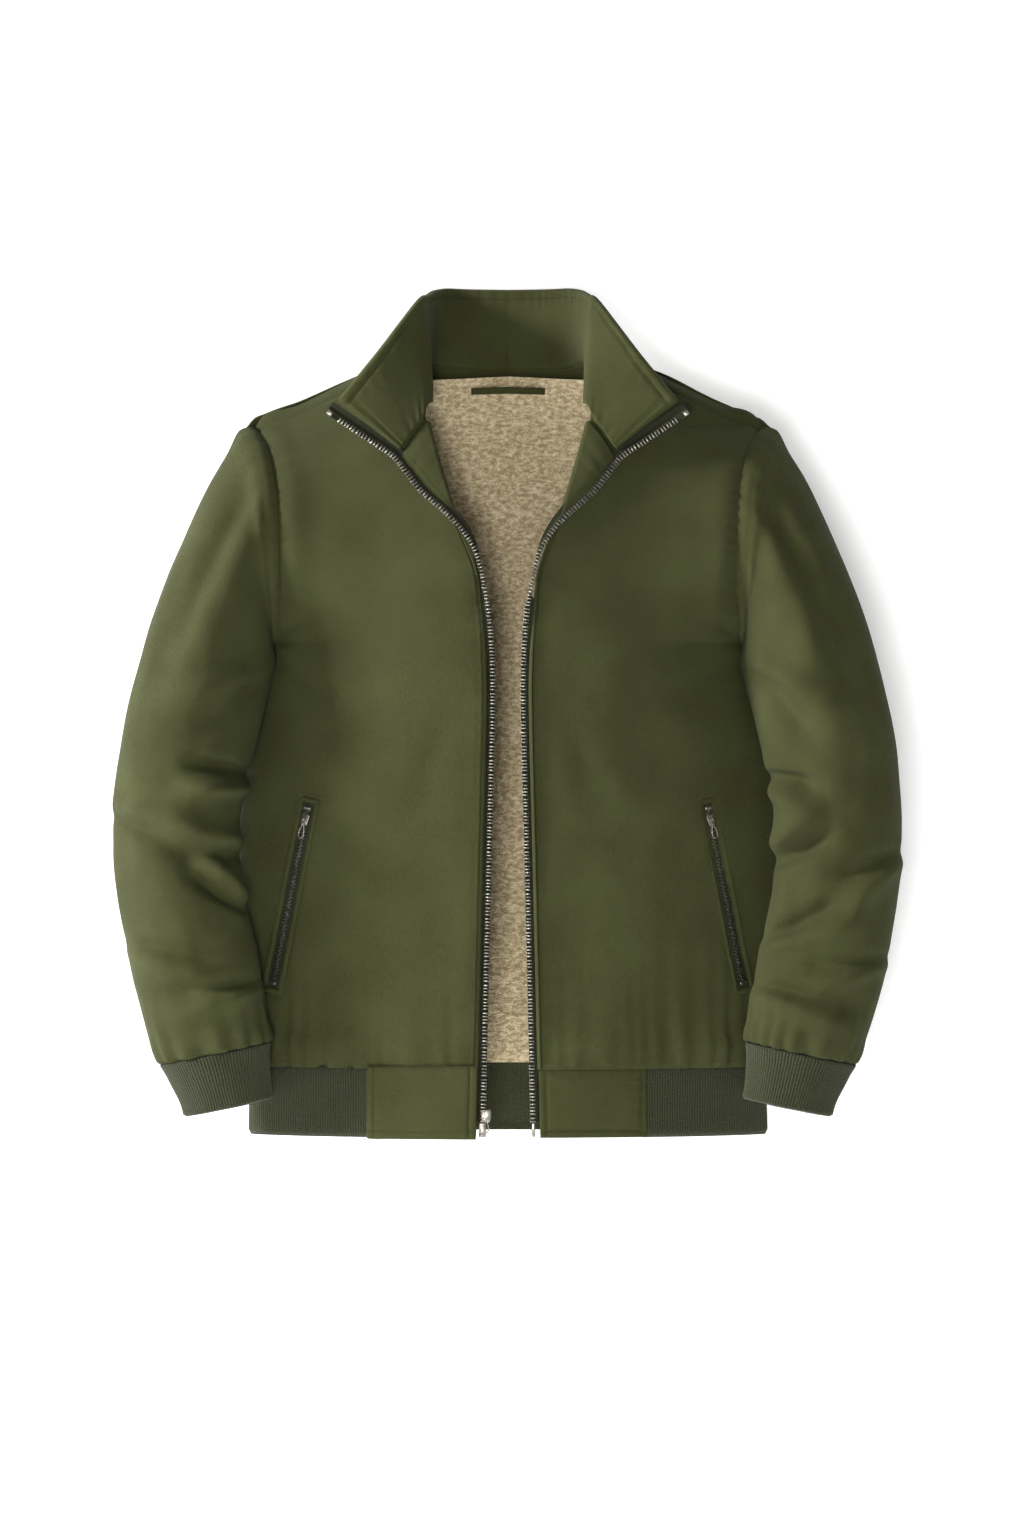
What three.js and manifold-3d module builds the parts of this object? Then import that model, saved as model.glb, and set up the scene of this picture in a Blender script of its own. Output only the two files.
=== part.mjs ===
// Olive stand-collar jacket with a pile lining, ribbed cuffs and hem, an open separating zip and two
// zipped hand pockets. Millimetres, +Z up. The front faces -Y and +X is the wearer's left. The origin
// is on the centre line at the back neck seam, where the jacket hangs.
import * as THREE from 'three';
import * as BufferGeometryUtils from 'three/addons/utils/BufferGeometryUtils.js';
import Module from 'manifold-3d';

const wasm = await Module();
wasm.setup();

// ---- Driving dimensions -------------------------------------------------------------------------
const bodyLength = 678; // back neck seam to hem edge
const hemRibHeight = 60;
const collarHeight = 69; // at the back of the neck
const shoulderHalf = 232; // centre line to shoulder point
const shoulderDrop = 57; // neck seam down to the shoulder point
const armholeDepth = 188; // shoulder point to underarm
const armholeHalfDepth = 50; // front to back, halved
const chestHalf = 207; // centre line to the armhole seam
const waistHalf = 238;
const hemHalf = 229;
const chestDepth = 66; // centre line to the front or back cloth
const hemDepth = 50;
const neckHalf = 74; // centre line to the side of the neck
const sleeveReach = 111; // how far the elbow stands out past the shoulder point
const cuffHeight = 47;

const shellWall = 2.4; // outer cloth with its interlining
const liningWall = 4.6; // pile lining
const liningInset = 5.9; // shell face to lining face
const ribWall = 4;
const facingWall = 1.8;
const bagWall = 1.2;
const seamGap = 0.3;
const chainSeat = 0.5; // tape face to chain
const armholeGap = 0.8;

const zipHalfGap = 15; // half of the open front, at the chest
const zipHemSpread = 7.5; // how much further each edge stands from the centre at the hem
const chainWidth = 4.4;
const chainWall = 2.2;
const tapeBeyondChain = 1.4; // how far the tape stands past the chain, towards the cloth
const tapeWall = 0.5;
const clothToChain = 4.2; // chain centre to the nearest cloth edge
const tabOuter = 121; // centre line to the outer edge of a hem tab

const pocketLength = 168;
const pocketTop = { x: 173, z: -385 };
const pocketLean = THREE.MathUtils.degToRad(11.5);
const pocketSlot = 13; // width of the cut in the front panel
const pocketTapeWidth = 12;
const pocketChainWidth = 5.4;
const pocketSliderParked = 16; // below the top of the pocket

const pocketSliderWidth = 8;
const mainSliderWidth = 9.6;
const sliderHeight = 11;
const sliderPlate = 1;
const sliderPost = 0.8;
const pullWidth = 6;
const mainPullLength = 17;
const pocketPullLength = 18;
const pullBar = 1.2;

const hemZ = -bodyLength;
const ribTopZ = hemZ + hemRibHeight;
const shoulderZ = -shoulderDrop;
const underarmZ = shoulderZ - armholeDepth;
const foldZ = -197; // where the front edge starts to turn out into the lapel

// ---- Small helpers ------------------------------------------------------------------------------
const vec = (x, y, z) => new THREE.Vector3(x, y, z);

// A smooth function through [at, value] stations, level at both ends.
function profile(stations) {
  const sorted = [...stations].sort((a, b) => a[0] - b[0]);
  return (at) => {
    const last = sorted.length - 1;
    if (at <= sorted[0][0]) return sorted[0][1];
    if (at >= sorted[last][0]) return sorted[last][1];
    const i = sorted.findIndex((station) => station[0] > at) - 1;
    const [x0, y0] = sorted[i];
    const [x1, y1] = sorted[i + 1];
    const before = sorted[Math.max(i - 1, 0)];
    const after = sorted[Math.min(i + 2, last)];
    const slope0 = (y1 - before[1]) / (x1 - before[0]);
    const slope1 = (after[1] - y0) / (after[0] - x0);
    const t = (at - x0) / (x1 - x0);
    const t2 = t * t;
    const t3 = t2 * t;
    const span = x1 - x0;
    return (2 * t3 - 3 * t2 + 1) * y0 + (t3 - 2 * t2 + t) * span * slope0
      + (3 * t2 - 2 * t3) * y1 + (t3 - t2) * span * slope1;
  };
}

// A smooth path through points; the parameter runs 0 to 1, a station to each point.
function path(points) {
  const curve = new THREE.CatmullRomCurve3(points, false, 'catmullrom', 0.5);
  return (t) => curve.getPoint(THREE.MathUtils.clamp(t, 0, 1));
}

function weld(geometry) {
  geometry.deleteAttribute('normal');
  geometry.deleteAttribute('uv');
  geometry.clearGroups();
  return BufferGeometryUtils.mergeVertices(geometry, 1e-4);
}

function triangleVolume(a, b, c) {
  return a.dot(vec(0, 0, 0).crossVectors(b, c)) / 6;
}

function enclosedVolume(geometry) {
  const position = geometry.getAttribute('position');
  const index = geometry.getIndex();
  let total = 0;
  for (let i = 0; i < index.count; i += 3) {
    const corner = (k) => vec(0, 0, 0).fromBufferAttribute(position, index.getX(i + k));
    total += triangleVolume(corner(0), corner(1), corner(2));
  }
  return total;
}

function faceOut(geometry) {
  if (enclosedVolume(geometry) > 0) return geometry;
  const index = geometry.getIndex();
  for (let i = 0; i < index.count; i += 3) {
    const second = index.getX(i + 1);
    index.setX(i + 1, index.getX(i + 2));
    index.setX(i + 2, second);
  }
  return geometry;
}

function reshape(geometry, place) {
  const position = geometry.getAttribute('position');
  for (let i = 0; i < position.count; i += 1) {
    const moved = place(position.getX(i), position.getY(i), position.getZ(i));
    position.setXYZ(i, moved.x, moved.y, moved.z);
  }
  return faceOut(weld(geometry));
}

// A flat slab bent into place: u and v run 0 to 1 over it, w is 0 on one face and 1 on the other.
function bentSlab(uSteps, vSteps, place) {
  const slab = new THREE.BoxGeometry(1, 1, 1, uSteps, vSteps, 1);
  return reshape(slab, (x, y, z) => place(x + 0.5, y + 0.5, z + 0.5));
}

// A walled tube: turn runs once round, v runs 0 to 1 along it, w is 0 outside and 1 inside.
function bentTube(turnSteps, vSteps, place) {
  const outline = [];
  for (let i = 0; i <= vSteps; i += 1) outline.push(new THREE.Vector2(2, i / vSteps));
  for (let i = vSteps; i >= 0; i -= 1) outline.push(new THREE.Vector2(1, i / vSteps));
  outline.push(outline[0].clone());
  const ring = new THREE.LatheGeometry(outline, turnSteps);
  return reshape(ring, (x, y, z) => place(Math.atan2(z, x), y, 2 - Math.hypot(x, z)));
}

function toManifold(geometry) {
  const welded = weld(geometry.clone());
  const vertProperties = new Float32Array(welded.getAttribute('position').array);
  const triVerts = new Uint32Array(welded.getIndex().array);
  return new wasm.Manifold(new wasm.Mesh({ numProp: 3, vertProperties, triVerts }));
}

function fromManifold(solid) {
  const mesh = solid.getMesh();
  const geometry = new THREE.BufferGeometry();
  geometry.setAttribute('position', new THREE.BufferAttribute(new Float32Array(mesh.vertProperties), 3));
  geometry.setIndex(new THREE.BufferAttribute(new Uint32Array(mesh.triVerts), 1));
  return geometry;
}

const cut = (geometry, tool) => fromManifold(toManifold(geometry).subtract(toManifold(tool)));
const join = (...pieces) => fromManifold(pieces.map(toManifold).reduce((a, b) => a.add(b)));
const block = (w, d, h, x, y, z) => new THREE.BoxGeometry(w, d, h).translate(x, y, z);

const group = new THREE.Group();
group.name = 'jacket';

const cloth = { color: 0x4d5433, roughness: 0.85, metalness: 0 };
const rib = { color: 0x3c422b, roughness: 0.95, metalness: 0 };
const pile = { color: 0xb39f78, roughness: 1, metalness: 0 };
const tapeCloth = { color: 0x23251c, roughness: 0.8, metalness: 0 };
const metal = { color: 0x8d8a80, roughness: 0.35, metalness: 1 };

function addPiece(parent, name, geometry, finish) {
  const mesh = new THREE.Mesh(geometry, new THREE.MeshStandardMaterial(finish));
  mesh.name = name;
  parent.add(mesh);
  return mesh;
}

// The front edge is straight from the hem up to here, so that a slider can run along it.
const straightTopZ = -300;
const alongFront = (z, low, high) => low + (high - low) * (z - hemZ) / (straightTopZ - hemZ);

// ---- The body surface ---------------------------------------------------------------------------
const shoulderTopZ = profile([
  [0, 48], [neckHalf, 4], [125, -6], [181, -33], [215, -46], [shoulderHalf, shoulderZ],
]);
const sideHalf = profile([
  [shoulderZ, shoulderHalf], [-72, 221], [-92, 214], [-120, 209], [-160, chestHalf],
  [underarmZ, chestHalf], [-284, 210], [-319, 217], [-345, 224], [-375, 232],
  [-410, waistHalf], [-520, waistHalf], [-580, 234], [ribTopZ, hemHalf], [hemZ, hemHalf],
]);
const bodyDepth = profile([
  [0, chestDepth - 2], [underarmZ, chestDepth], [straightTopZ, chestDepth - 1],
  [-470, alongFront(-470, hemDepth, chestDepth - 1)],
  [ribTopZ, alongFront(ribTopZ, hemDepth, chestDepth - 1)],
  [hemZ, hemDepth],
]);
const armholeMiddle = (shoulderZ + underarmZ) / 2;

function armholeY(z) {
  const share = (z - armholeMiddle) / (armholeDepth / 2);
  return armholeHalfDepth * Math.max(0, 1 - share * share) ** 0.7;
}

// A point of the front (side -1) or back (side 1) cloth, `inset` behind its outer face.
function bodyPoint(x, z, inset, side) {
  const half = sideHalf(z);
  const share = Math.min(Math.abs(x) / half, 1);
  const roundFrom = -230;
  const rise = THREE.MathUtils.clamp((z - roundFrom) / (shoulderTopZ(Math.abs(x)) - roundFrom), 0, 1);
  const shoulderRound = (1 - rise ** 3) ** 0.6;
  const middle = (bodyDepth(z) - inset) * shoulderRound * (1 - share * share) ** 0.7;
  const edge = armholeY(z) * (1 - inset / armholeHalfDepth) * share ** 4;
  const y = side * (seamGap / 2 + middle + edge);
  const lower = inset * 1.3 * rise ** 4;
  return vec(x * (1 - inset / half), y, z - lower);
}

// The patch between a bottom, a top, an inner and an outer edge, each a function of 0 to 1 giving
// [x, z].
function patch(bottom, top, inner, outer) {
  const mix = (a, b, t) => a + (b - a) * t;
  return (u, v) => [0, 1].map((k) => {
    const across = mix(inner(v)[k], outer(v)[k], u);
    const along = mix(bottom(u)[k], top(u)[k], v);
    const corners = mix(mix(bottom(0)[k], bottom(1)[k], u), mix(top(0)[k], top(1)[k], u), v);
    return across + along - corners;
  });
}

// ---- Front edge: the zip line and the roll line -------------------------------------------------
const zipNarrow = zipHalfGap - 1.5;
const zipX = profile([
  [-221, zipHalfGap + 1.3], [-260, zipHalfGap - 1], [straightTopZ, zipNarrow],
  [-420, alongFront(-420, zipHalfGap + zipHemSpread, zipNarrow)], [hemZ, zipHalfGap + zipHemSpread],
]);
const lapelZip = [
  [zipX(-221), -221], [20, foldZ], [25, -175], [34, -156], [51, -136], [73, -116], [84, -102], [97, -86],
];
const lapelRoll = [
  [zipX(-221), -221], [20, foldZ], [24, -185], [31, -168], [42, -142], [53, -108], [62, -77], [69, -49],
];
const collarTip = [157.5, -46];
const planePath = (pairs) => path(pairs.map(([x, z]) => vec(x, 0, z)));
const lapelZipPath = planePath(lapelZip);
const lapelRollPath = planePath(lapelRoll);
const straightShare = 0.55; // share of the front edge's parameter below the lapel

function edgeAt(v, lapelPath, bottomZ) {
  if (v <= straightShare) {
    const z = THREE.MathUtils.lerp(bottomZ, -221, v / straightShare);
    return [zipX(z), z];
  }
  const point = lapelPath((v - straightShare) / (1 - straightShare));
  return [point.x, point.z];
}

// ---- Body panels --------------------------------------------------------------------------------
const neckSide = [neckHalf + 6, 0];

// How far the cloth's fold stands off the zip line: past the tape below, close to the roll above.
function foldShift(v) {
  const share = THREE.MathUtils.smoothstep(v, straightShare, straightShare + 0.2);
  return THREE.MathUtils.lerp(clothToChain + 2.6, 2.6, share);
}
const panelBehindFold = 0.9;
const frontBottomZ = ribTopZ + seamGap;

// The inner edge of a front panel: up the zip, along the roll line, then up the neck seam.
const neckShare = 0.86;
function frontInner(v) {
  const share = Math.min(v / neckShare, 1);
  const [x, z] = edgeAt(share, lapelRollPath, frontBottomZ);
  const edgeX = x + foldShift(share) + panelBehindFold;
  if (v <= neckShare) return [edgeX, z];
  const t = (v - neckShare) / (1 - neckShare);
  return [THREE.MathUtils.lerp(edgeX, neckSide[0], t), THREE.MathUtils.lerp(z, neckSide[1], t)];
}
function sideEdge(v) {
  const z = THREE.MathUtils.lerp(frontBottomZ, shoulderZ, v);
  return [sideHalf(z), z];
}
const shoulderEdge = (inner) => (u) => {
  const x = THREE.MathUtils.lerp(inner, shoulderHalf, u);
  return [x, shoulderTopZ(x)];
};
const hemEdge = (inner) => (u) => [THREE.MathUtils.lerp(inner, hemHalf, u), frontBottomZ];
const frontTop = (u) => {
  const [x, z] = shoulderEdge(neckSide[0])(u);
  return [x, u === 0 ? neckSide[1] : z];
};
const frontPatch = patch(hemEdge(frontInner(0)[0]), frontTop, frontInner, sideEdge);

// Rows lie closer together towards the shoulders, where the cloth turns over.
const rowShare = (v) => 1 - (1 - v) ** 1.6;

function frontPanel(sign, from, to, uSteps, vSteps, uStart = 0) {
  return bentSlab(uSteps, vSteps, (u, v, w) => {
    const [x, z] = frontPatch(THREE.MathUtils.lerp(uStart, 1, u), rowShare(v));
    const point = bodyPoint(x, z, THREE.MathUtils.lerp(from, to, w), -1);
    return vec(sign * point.x, point.y, point.z);
  });
}

const backNeckZ = -2;
const backNeckLine = (x) => THREE.MathUtils.lerp(backNeckZ, neckSide[1], (x / neckSide[0]) ** 2);
function backPanel(from, to, uSteps, vSteps) {
  const backTop = (u) => {
    const x = shoulderHalf * (2 * u - 1);
    const away = Math.abs(x);
    return [x, away < neckSide[0] ? backNeckLine(away) : shoulderTopZ(away)];
  };
  const bottom = (u) => [hemHalf * (2 * u - 1), frontBottomZ];
  const right = (v) => [-sideEdge(v)[0], sideEdge(v)[1]];
  const place = patch(bottom, backTop, right, sideEdge);
  return bentSlab(uSteps, vSteps, (u, v, w) => {
    const [x, z] = place(u, rowShare(v));
    return bodyPoint(x, z, THREE.MathUtils.lerp(from, to, w), 1);
  });
}

// ---- Pockets ------------------------------------------------------------------------------------
// A pocket is flat. Its own frame has +X across, +Y out of the cloth and +Z up the zip, and its
// origin is at the middle of the zip.
function pocketFrame(sign) {
  const surfaceAt = (s) => {
    const x = pocketTop.x + (pocketLength / 2 - s) * Math.sin(pocketLean);
    const z = pocketTop.z - (pocketLength / 2 - s) * Math.cos(pocketLean);
    const point = bodyPoint(x, z, 0, -1);
    return vec(sign * point.x, point.y, point.z);
  };
  const reach = pocketLength * 0.4;
  const top = surfaceAt(reach);
  const bottom = surfaceAt(-reach);
  const middle = surfaceAt(0);
  const origin = top.clone().add(bottom).multiplyScalar(0.25).addScaledVector(middle, 0.5);
  const zAxis = top.clone().sub(bottom).normalize();
  const aside = bodyPoint(Math.abs(middle.x) + 10, middle.z, 0, -1);
  const across = vec(sign * aside.x, aside.y, aside.z).sub(middle).multiplyScalar(sign);
  const yAxis = vec(0, 0, 0).crossVectors(across, zAxis).normalize();
  const xAxis = vec(0, 0, 0).crossVectors(yAxis, zAxis).normalize();
  return new THREE.Matrix4().makeBasis(xAxis, yAxis, zAxis).setPosition(origin);
}

function frameShape(width, length, holeWidth, holeLength) {
  const shape = new THREE.Shape();
  const rectangle = (target, w, l) => {
    target.moveTo(-w / 2, -l / 2);
    target.lineTo(w / 2, -l / 2);
    target.lineTo(w / 2, l / 2);
    target.lineTo(-w / 2, l / 2);
    target.closePath();
  };
  rectangle(shape, width, length);
  const hole = new THREE.Path();
  rectangle(hole, holeWidth, holeLength);
  shape.holes.push(hole);
  return shape;
}

// A flat outline in the X-Z plane, from depth `near` to depth `far` along +Y.
function plate(shape, near, far) {
  const slab = new THREE.ExtrudeGeometry(shape, { depth: far - near, bevelEnabled: false, curveSegments: 6 });
  return faceOut(weld(slab.rotateX(Math.PI / 2).translate(0, far, 0)));
}

// Depths in a pocket, out of the cloth.
const chainFront = 1.9;
const chainBack = -0.6;
const tapeFront = 0.6;
const welt = { width: 18, hole: 9.4, near: 1.5, far: 2.5 };
const plateGap = 0.3;

// The slider: a front and a back plate joined by a post, with an arch that carries the puller.
function sliderBody(front, back, width) {
  const archReach = 2.6;
  const archWall = 0.8;
  const archHeight = 4.4;
  const archWidth = 1.6;
  const archZ = 1;
  const frontFace = front + plateGap + sliderPlate;
  const frontPlate = block(width, sliderPlate, sliderHeight, 0, frontFace - sliderPlate / 2, 0);
  const backPlate = block(width, sliderPlate, sliderHeight, 0, back - plateGap - sliderPlate / 2, 0);
  const postDepth = front - back + 2 * plateGap + sliderPlate;
  const post = block(sliderPost, postDepth, sliderHeight * 0.8, 0, (front + back) / 2, 0);
  const footing = 0.4; // how far the legs sink into the plate
  const legDepth = archReach + footing;
  const legY = frontFace + (archReach - footing) / 2;
  const leg = (z) => block(archWidth, legDepth, archWall, 0, legY, archZ + z);
  const legShift = archHeight / 2 - archWall / 2;
  const crown = block(archWidth, archWall, archHeight, 0, frontFace + archReach - archWall / 2, archZ);
  return {
    geometry: join(frontPlate, backPlate, post, leg(legShift), leg(-legShift), crown),
    pivot: vec(0, frontFace + (archReach - archWall) / 2, archZ),
  };
}

// A puller: a flat bar with an eye over the slider's arch, hanging from its top bar.
function pullPlate(length) {
  const shape = new THREE.Shape();
  const half = pullWidth / 2;
  shape.moveTo(-half, pullBar / 2);
  shape.lineTo(-half * 0.7, -length + half);
  shape.absarc(0, -length + half, half * 0.7, Math.PI, 2 * Math.PI, false);
  shape.lineTo(half, pullBar / 2);
  shape.closePath();
  const eye = new THREE.Path();
  const eyeHalf = 1.3;
  eye.moveTo(-eyeHalf, -pullBar / 2);
  eye.lineTo(eyeHalf, -pullBar / 2);
  eye.lineTo(eyeHalf, -pullBar / 2 - 4.2);
  eye.lineTo(-eyeHalf, -pullBar / 2 - 4.2);
  eye.closePath();
  shape.holes.push(eye);
  return plate(shape, -pullBar / 2, pullBar / 2);
}

function addPocket(side, sign) {
  const pocket = new THREE.Group();
  pocket.applyMatrix4(pocketFrame(sign));
  const slotLength = pocketLength - 12;
  const weltShape = frameShape(welt.width, pocketLength + 10, welt.hole, pocketLength);
  const weltPlate = plate(weltShape, welt.near, welt.far);
  addPiece(pocket, `${side}_pocket_welt`, weltPlate, cloth);
  const tapeHole = pocketChainWidth + 2 * seamGap;
  const tapeShape = frameShape(pocketTapeWidth, pocketLength + 4, tapeHole, pocketLength - 8);
  addPiece(pocket, `${side}_pocket_tape`, plate(tapeShape, tapeFront - tapeWall, tapeFront), tapeCloth);
  const chainShape = frameShape(pocketChainWidth, pocketLength - 9, sliderPost + 0.8, slotLength);
  addPiece(pocket, `${side}_pocket_chain`, plate(chainShape, chainBack, chainFront), metal);
  const stop = (z) => block(pocketChainWidth + 1.6, 1, 2.4, 0, chainFront + seamGap + 0.5, z);
  addPiece(pocket, `${side}_pocket_top_stop`, weld(stop(pocketLength / 2 - 5.6)), metal);
  addPiece(pocket, `${side}_pocket_bottom_stop`, weld(stop(-pocketLength / 2 + 5.6)), metal);
  const slider = sliderBody(chainFront, chainBack, pocketSliderWidth);
  const sliderZ = pocketLength / 2 - pocketSliderParked;
  addPiece(pocket, `${side}_pocket_slider`, slider.geometry, metal).position.set(0, 0, sliderZ);
  const pull = addPiece(pocket, `${side}_pocket_pull`, pullPlate(pocketPullLength), metal);
  pull.position.copy(slider.pivot).add(vec(0, 0, sliderZ));
  group.add(pocket);
  return pocket;
}

function pocketCutter(sign) {
  const cutter = new THREE.BoxGeometry(pocketSlot, 14, pocketLength + 6);
  return cutter.applyMatrix4(pocketFrame(sign));
}

// The pocket bag lies between the shell and the lining, behind the zip and towards the zip edge.
function pocketBag(sign) {
  const bagWidth = 108;
  const bagTop = pocketTop.z + 14;
  const bagBottom = ribTopZ + 12;
  const bagInset = shellWall + 0.8;
  return bentSlab(6, 6, (u, v, w) => {
    const z = THREE.MathUtils.lerp(bagBottom, bagTop, v);
    const outer = 212 - 28 * v;
    const x = outer - bagWidth * (1 - u);
    const point = bodyPoint(x, z, bagInset + bagWall * w, -1);
    return vec(sign * point.x, point.y, point.z);
  });
}

// ---- Sleeves ------------------------------------------------------------------------------------
const elbowX = shoulderHalf + sleeveReach;
const sleeveOuter = path([
  vec(shoulderHalf, 0, shoulderZ), vec(262, 0, -105), vec(290, 0, -168), vec(313, 0, -232),
  vec(331, 0, -300), vec(elbowX - 2, 0, -362), vec(elbowX, 0, -412), vec(elbowX - 4, 0, -465),
  vec(328, 0, -530), vec(315, 0, -580), vec(303, 0, -614),
]);
const sleeveInner = path([
  vec(chestHalf, 0, underarmZ), vec(208, 0, -262), vec(212, 0, -284), vec(218, 0, -319),
  vec(225, 0, -360), vec(231, 0, -392), vec(231, 0, -425), vec(228, 0, -468),
  vec(217, 0, -520), vec(210, 0, -565), vec(206, 0, -594),
]);
const sleeveForward = profile([[0, 0], [0.1, -6], [0.2, -14], [0.3, -26], [0.4, -36], [0.5, -42], [1, -42]]);
const sleeveHalfDepth = profile([
  [0, armholeHalfDepth], [0.2, 51], [0.4, 46], [0.6, 41], [0.85, 37], [1, 30],
]);

function sleevePoint(sign, turn, t, inset) {
  const outer = sleeveOuter(t);
  const inner = sleeveInner(t);
  const middle = outer.clone().add(inner).multiplyScalar(0.5);
  const half = outer.clone().sub(inner).multiplyScalar(0.5);
  const shrink = 1 - inset / half.length();
  const point = middle.addScaledVector(half, Math.cos(turn) * shrink);
  const startZ = armholeMiddle + (armholeDepth / 2) * Math.cos(turn);
  const chordX = THREE.MathUtils.mapLinear(startZ, shoulderZ, underarmZ, shoulderHalf, chestHalf);
  const bow = (sideHalf(startZ) - chordX) * Math.max(0, 1 - 5 * t) ** 2;
  const round = (sleeveHalfDepth(t) - inset) * Math.sin(turn);
  const seam = Math.sign(Math.sin(turn)) * armholeY(startZ) * (1 - inset / armholeHalfDepth);
  const y = sleeveForward(t) + THREE.MathUtils.lerp(seam, round, THREE.MathUtils.smoothstep(t, 0, 0.2));
  return vec(sign * (point.x + bow + armholeGap), y, point.z);
}

function sleeve(sign, from, to, turnSteps, vSteps, start = 0) {
  return bentTube(turnSteps, vSteps, (turn, v, w) => sleevePoint(
    sign, turn, THREE.MathUtils.lerp(start, 1, v), THREE.MathUtils.lerp(from, to, w),
  ));
}

function cuff(sign) {
  const outer = sleeveOuter(1);
  const inner = sleeveInner(1);
  const across = outer.clone().sub(inner).normalize();
  const out = vec(across.z, 0, -across.x);
  const middle = outer.clone().add(inner).multiplyScalar(0.5).addScaledVector(out, 2 * seamGap);
  const halfWidth = outer.distanceTo(inner) / 2 - shellWall - seamGap;
  const halfDepth = sleeveHalfDepth(1) - shellWall - seamGap;
  const down = vec(-12, 0, -cuffHeight);
  return bentTube(20, 2, (turn, v, w) => {
    const spread = THREE.MathUtils.lerp(1, 0.86, v);
    const point = middle.clone().addScaledVector(down, v)
      .addScaledVector(across, (halfWidth * spread - ribWall * w) * Math.cos(turn));
    const y = sleeveForward(1) + (halfDepth * spread - ribWall * w) * Math.sin(turn);
    return vec(sign * (point.x + armholeGap), y, point.z);
  });
}

// ---- Hem ----------------------------------------------------------------------------------------
function hemPoint(turn, z, inset) {
  const half = sideHalf(z) - inset;
  const x = half * Math.cos(turn);
  const y = Math.sign(Math.sin(turn)) * (bodyDepth(z) - inset) * Math.abs(Math.sin(turn)) ** 1.4;
  return vec(x, y, z);
}

function hemRib() {
  const frontTurn = -Math.acos((tabOuter + seamGap) / hemHalf);
  const otherTurn = Math.PI - frontTurn;
  return bentSlab(44, 1, (u, v, w) => {
    const turn = THREE.MathUtils.lerp(frontTurn, otherTurn, u);
    return hemPoint(turn, THREE.MathUtils.lerp(hemZ, ribTopZ, v), ribWall * w);
  });
}

function hemTab(sign) {
  return bentSlab(6, 3, (u, v, w) => {
    const z = THREE.MathUtils.lerp(hemZ, ribTopZ, v);
    const x = THREE.MathUtils.lerp(zipX(z) + clothToChain, tabOuter, u);
    const turn = -Math.acos(x / sideHalf(z));
    const point = hemPoint(turn, z, ribWall * w);
    return vec(sign * point.x, point.y, point.z);
  });
}

// ---- Facing, turned out into the lapel above the fold -------------------------------------------
const facingWidth = 44;
const facingFront = -3.4; // inset of the lapel, in front of the shell
const facingBack = 4; // inset of the part behind the shell
const turnReach = 1.8;

// Across a facing: out along the lapel, round the roll and back inside the shell.
function facingPoint(sign, u, v) {
  const reach = v * 0.975;
  const zip = edgeAt(reach, lapelZipPath, frontBottomZ);
  const roll = edgeAt(reach, lapelRollPath, frontBottomZ);
  const lapelWidth = Math.hypot(zip[0] - roll[0], zip[1] - roll[1]);
  const fold = [roll[0] + foldShift(reach), roll[1]];
  const keep = Math.max(lapelWidth - clothToChain, 0) / Math.max(lapelWidth, 1);
  const edge = [
    Math.max(THREE.MathUtils.lerp(roll[0], zip[0], keep), fold[0] + 0.3),
    THREE.MathUtils.lerp(roll[1], zip[1], keep),
  ];
  const lapelEnd = 0.35;
  const turnEnd = 0.6;
  let x = fold[0];
  let z = fold[1];
  let inset = facingBack;
  if (u < lapelEnd) {
    x = THREE.MathUtils.lerp(edge[0], fold[0], u / lapelEnd);
    z = THREE.MathUtils.lerp(edge[1], fold[1], u / lapelEnd);
    inset = facingFront;
  } else if (u < turnEnd) {
    const turn = Math.PI * (u - lapelEnd) / (turnEnd - lapelEnd);
    inset = THREE.MathUtils.lerp(facingFront, facingBack, (1 - Math.cos(turn)) / 2);
    x -= Math.sin(turn) * turnReach;
  } else {
    x += facingWidth * (u - turnEnd) / (1 - turnEnd);
  }
  return bodyPoint(x, z, inset, -1).multiply(vec(sign, 1, 1));
}

// A slab either side of a surface given by u and v.
function thickSheet(uSteps, vSteps, surface, wall) {
  const step = 0.004;
  return bentSlab(uSteps, vSteps, (u, v, w) => {
    const here = surface(u, v);
    const du = surface(Math.min(u + step, 1), v).sub(surface(Math.max(u - step, 0), v));
    const dv = surface(u, Math.min(v + step, 1)).sub(surface(u, Math.max(v - step, 0)));
    const normal = vec(0, 0, 0).crossVectors(du, dv).normalize();
    return here.addScaledVector(normal, (w - 0.5) * wall);
  });
}

// ---- Collar -------------------------------------------------------------------------------------
const collarBase = (sign) => {
  const seamLift = 1;
  const back = (x) => bodyPoint(x, backNeckLine(x) + seamGap + 0.3, 0, 1);
  const front = (x, z) => bodyPoint(x, z, -seamLift, -1);
  const line = [
    back(0), back(34), back(60), vec(neckHalf - 1, 0, 1.5),
    front(neckHalf - 0.5, -22), front(72.8, -48), front(84, -65), front(95.5, -81.5),
  ];
  return path(line.map((point) => point.multiply(vec(sign, 1, 1))));
};
const collarTop = (sign) => {
  const line = [
    vec(0, 46, collarHeight), vec(34, 45, collarHeight), vec(58, 38, collarHeight),
    vec(70, 22, collarHeight - 3), vec(76, 2, collarHeight - 9), vec(82, -14, collarHeight - 16),
    vec(118, -42, 2), vec(collarTip[0] - 5, -50, collarTip[1] + 4),
  ];
  return path(line.map((point) => point.multiply(vec(sign, 1, 1))));
};

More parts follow.
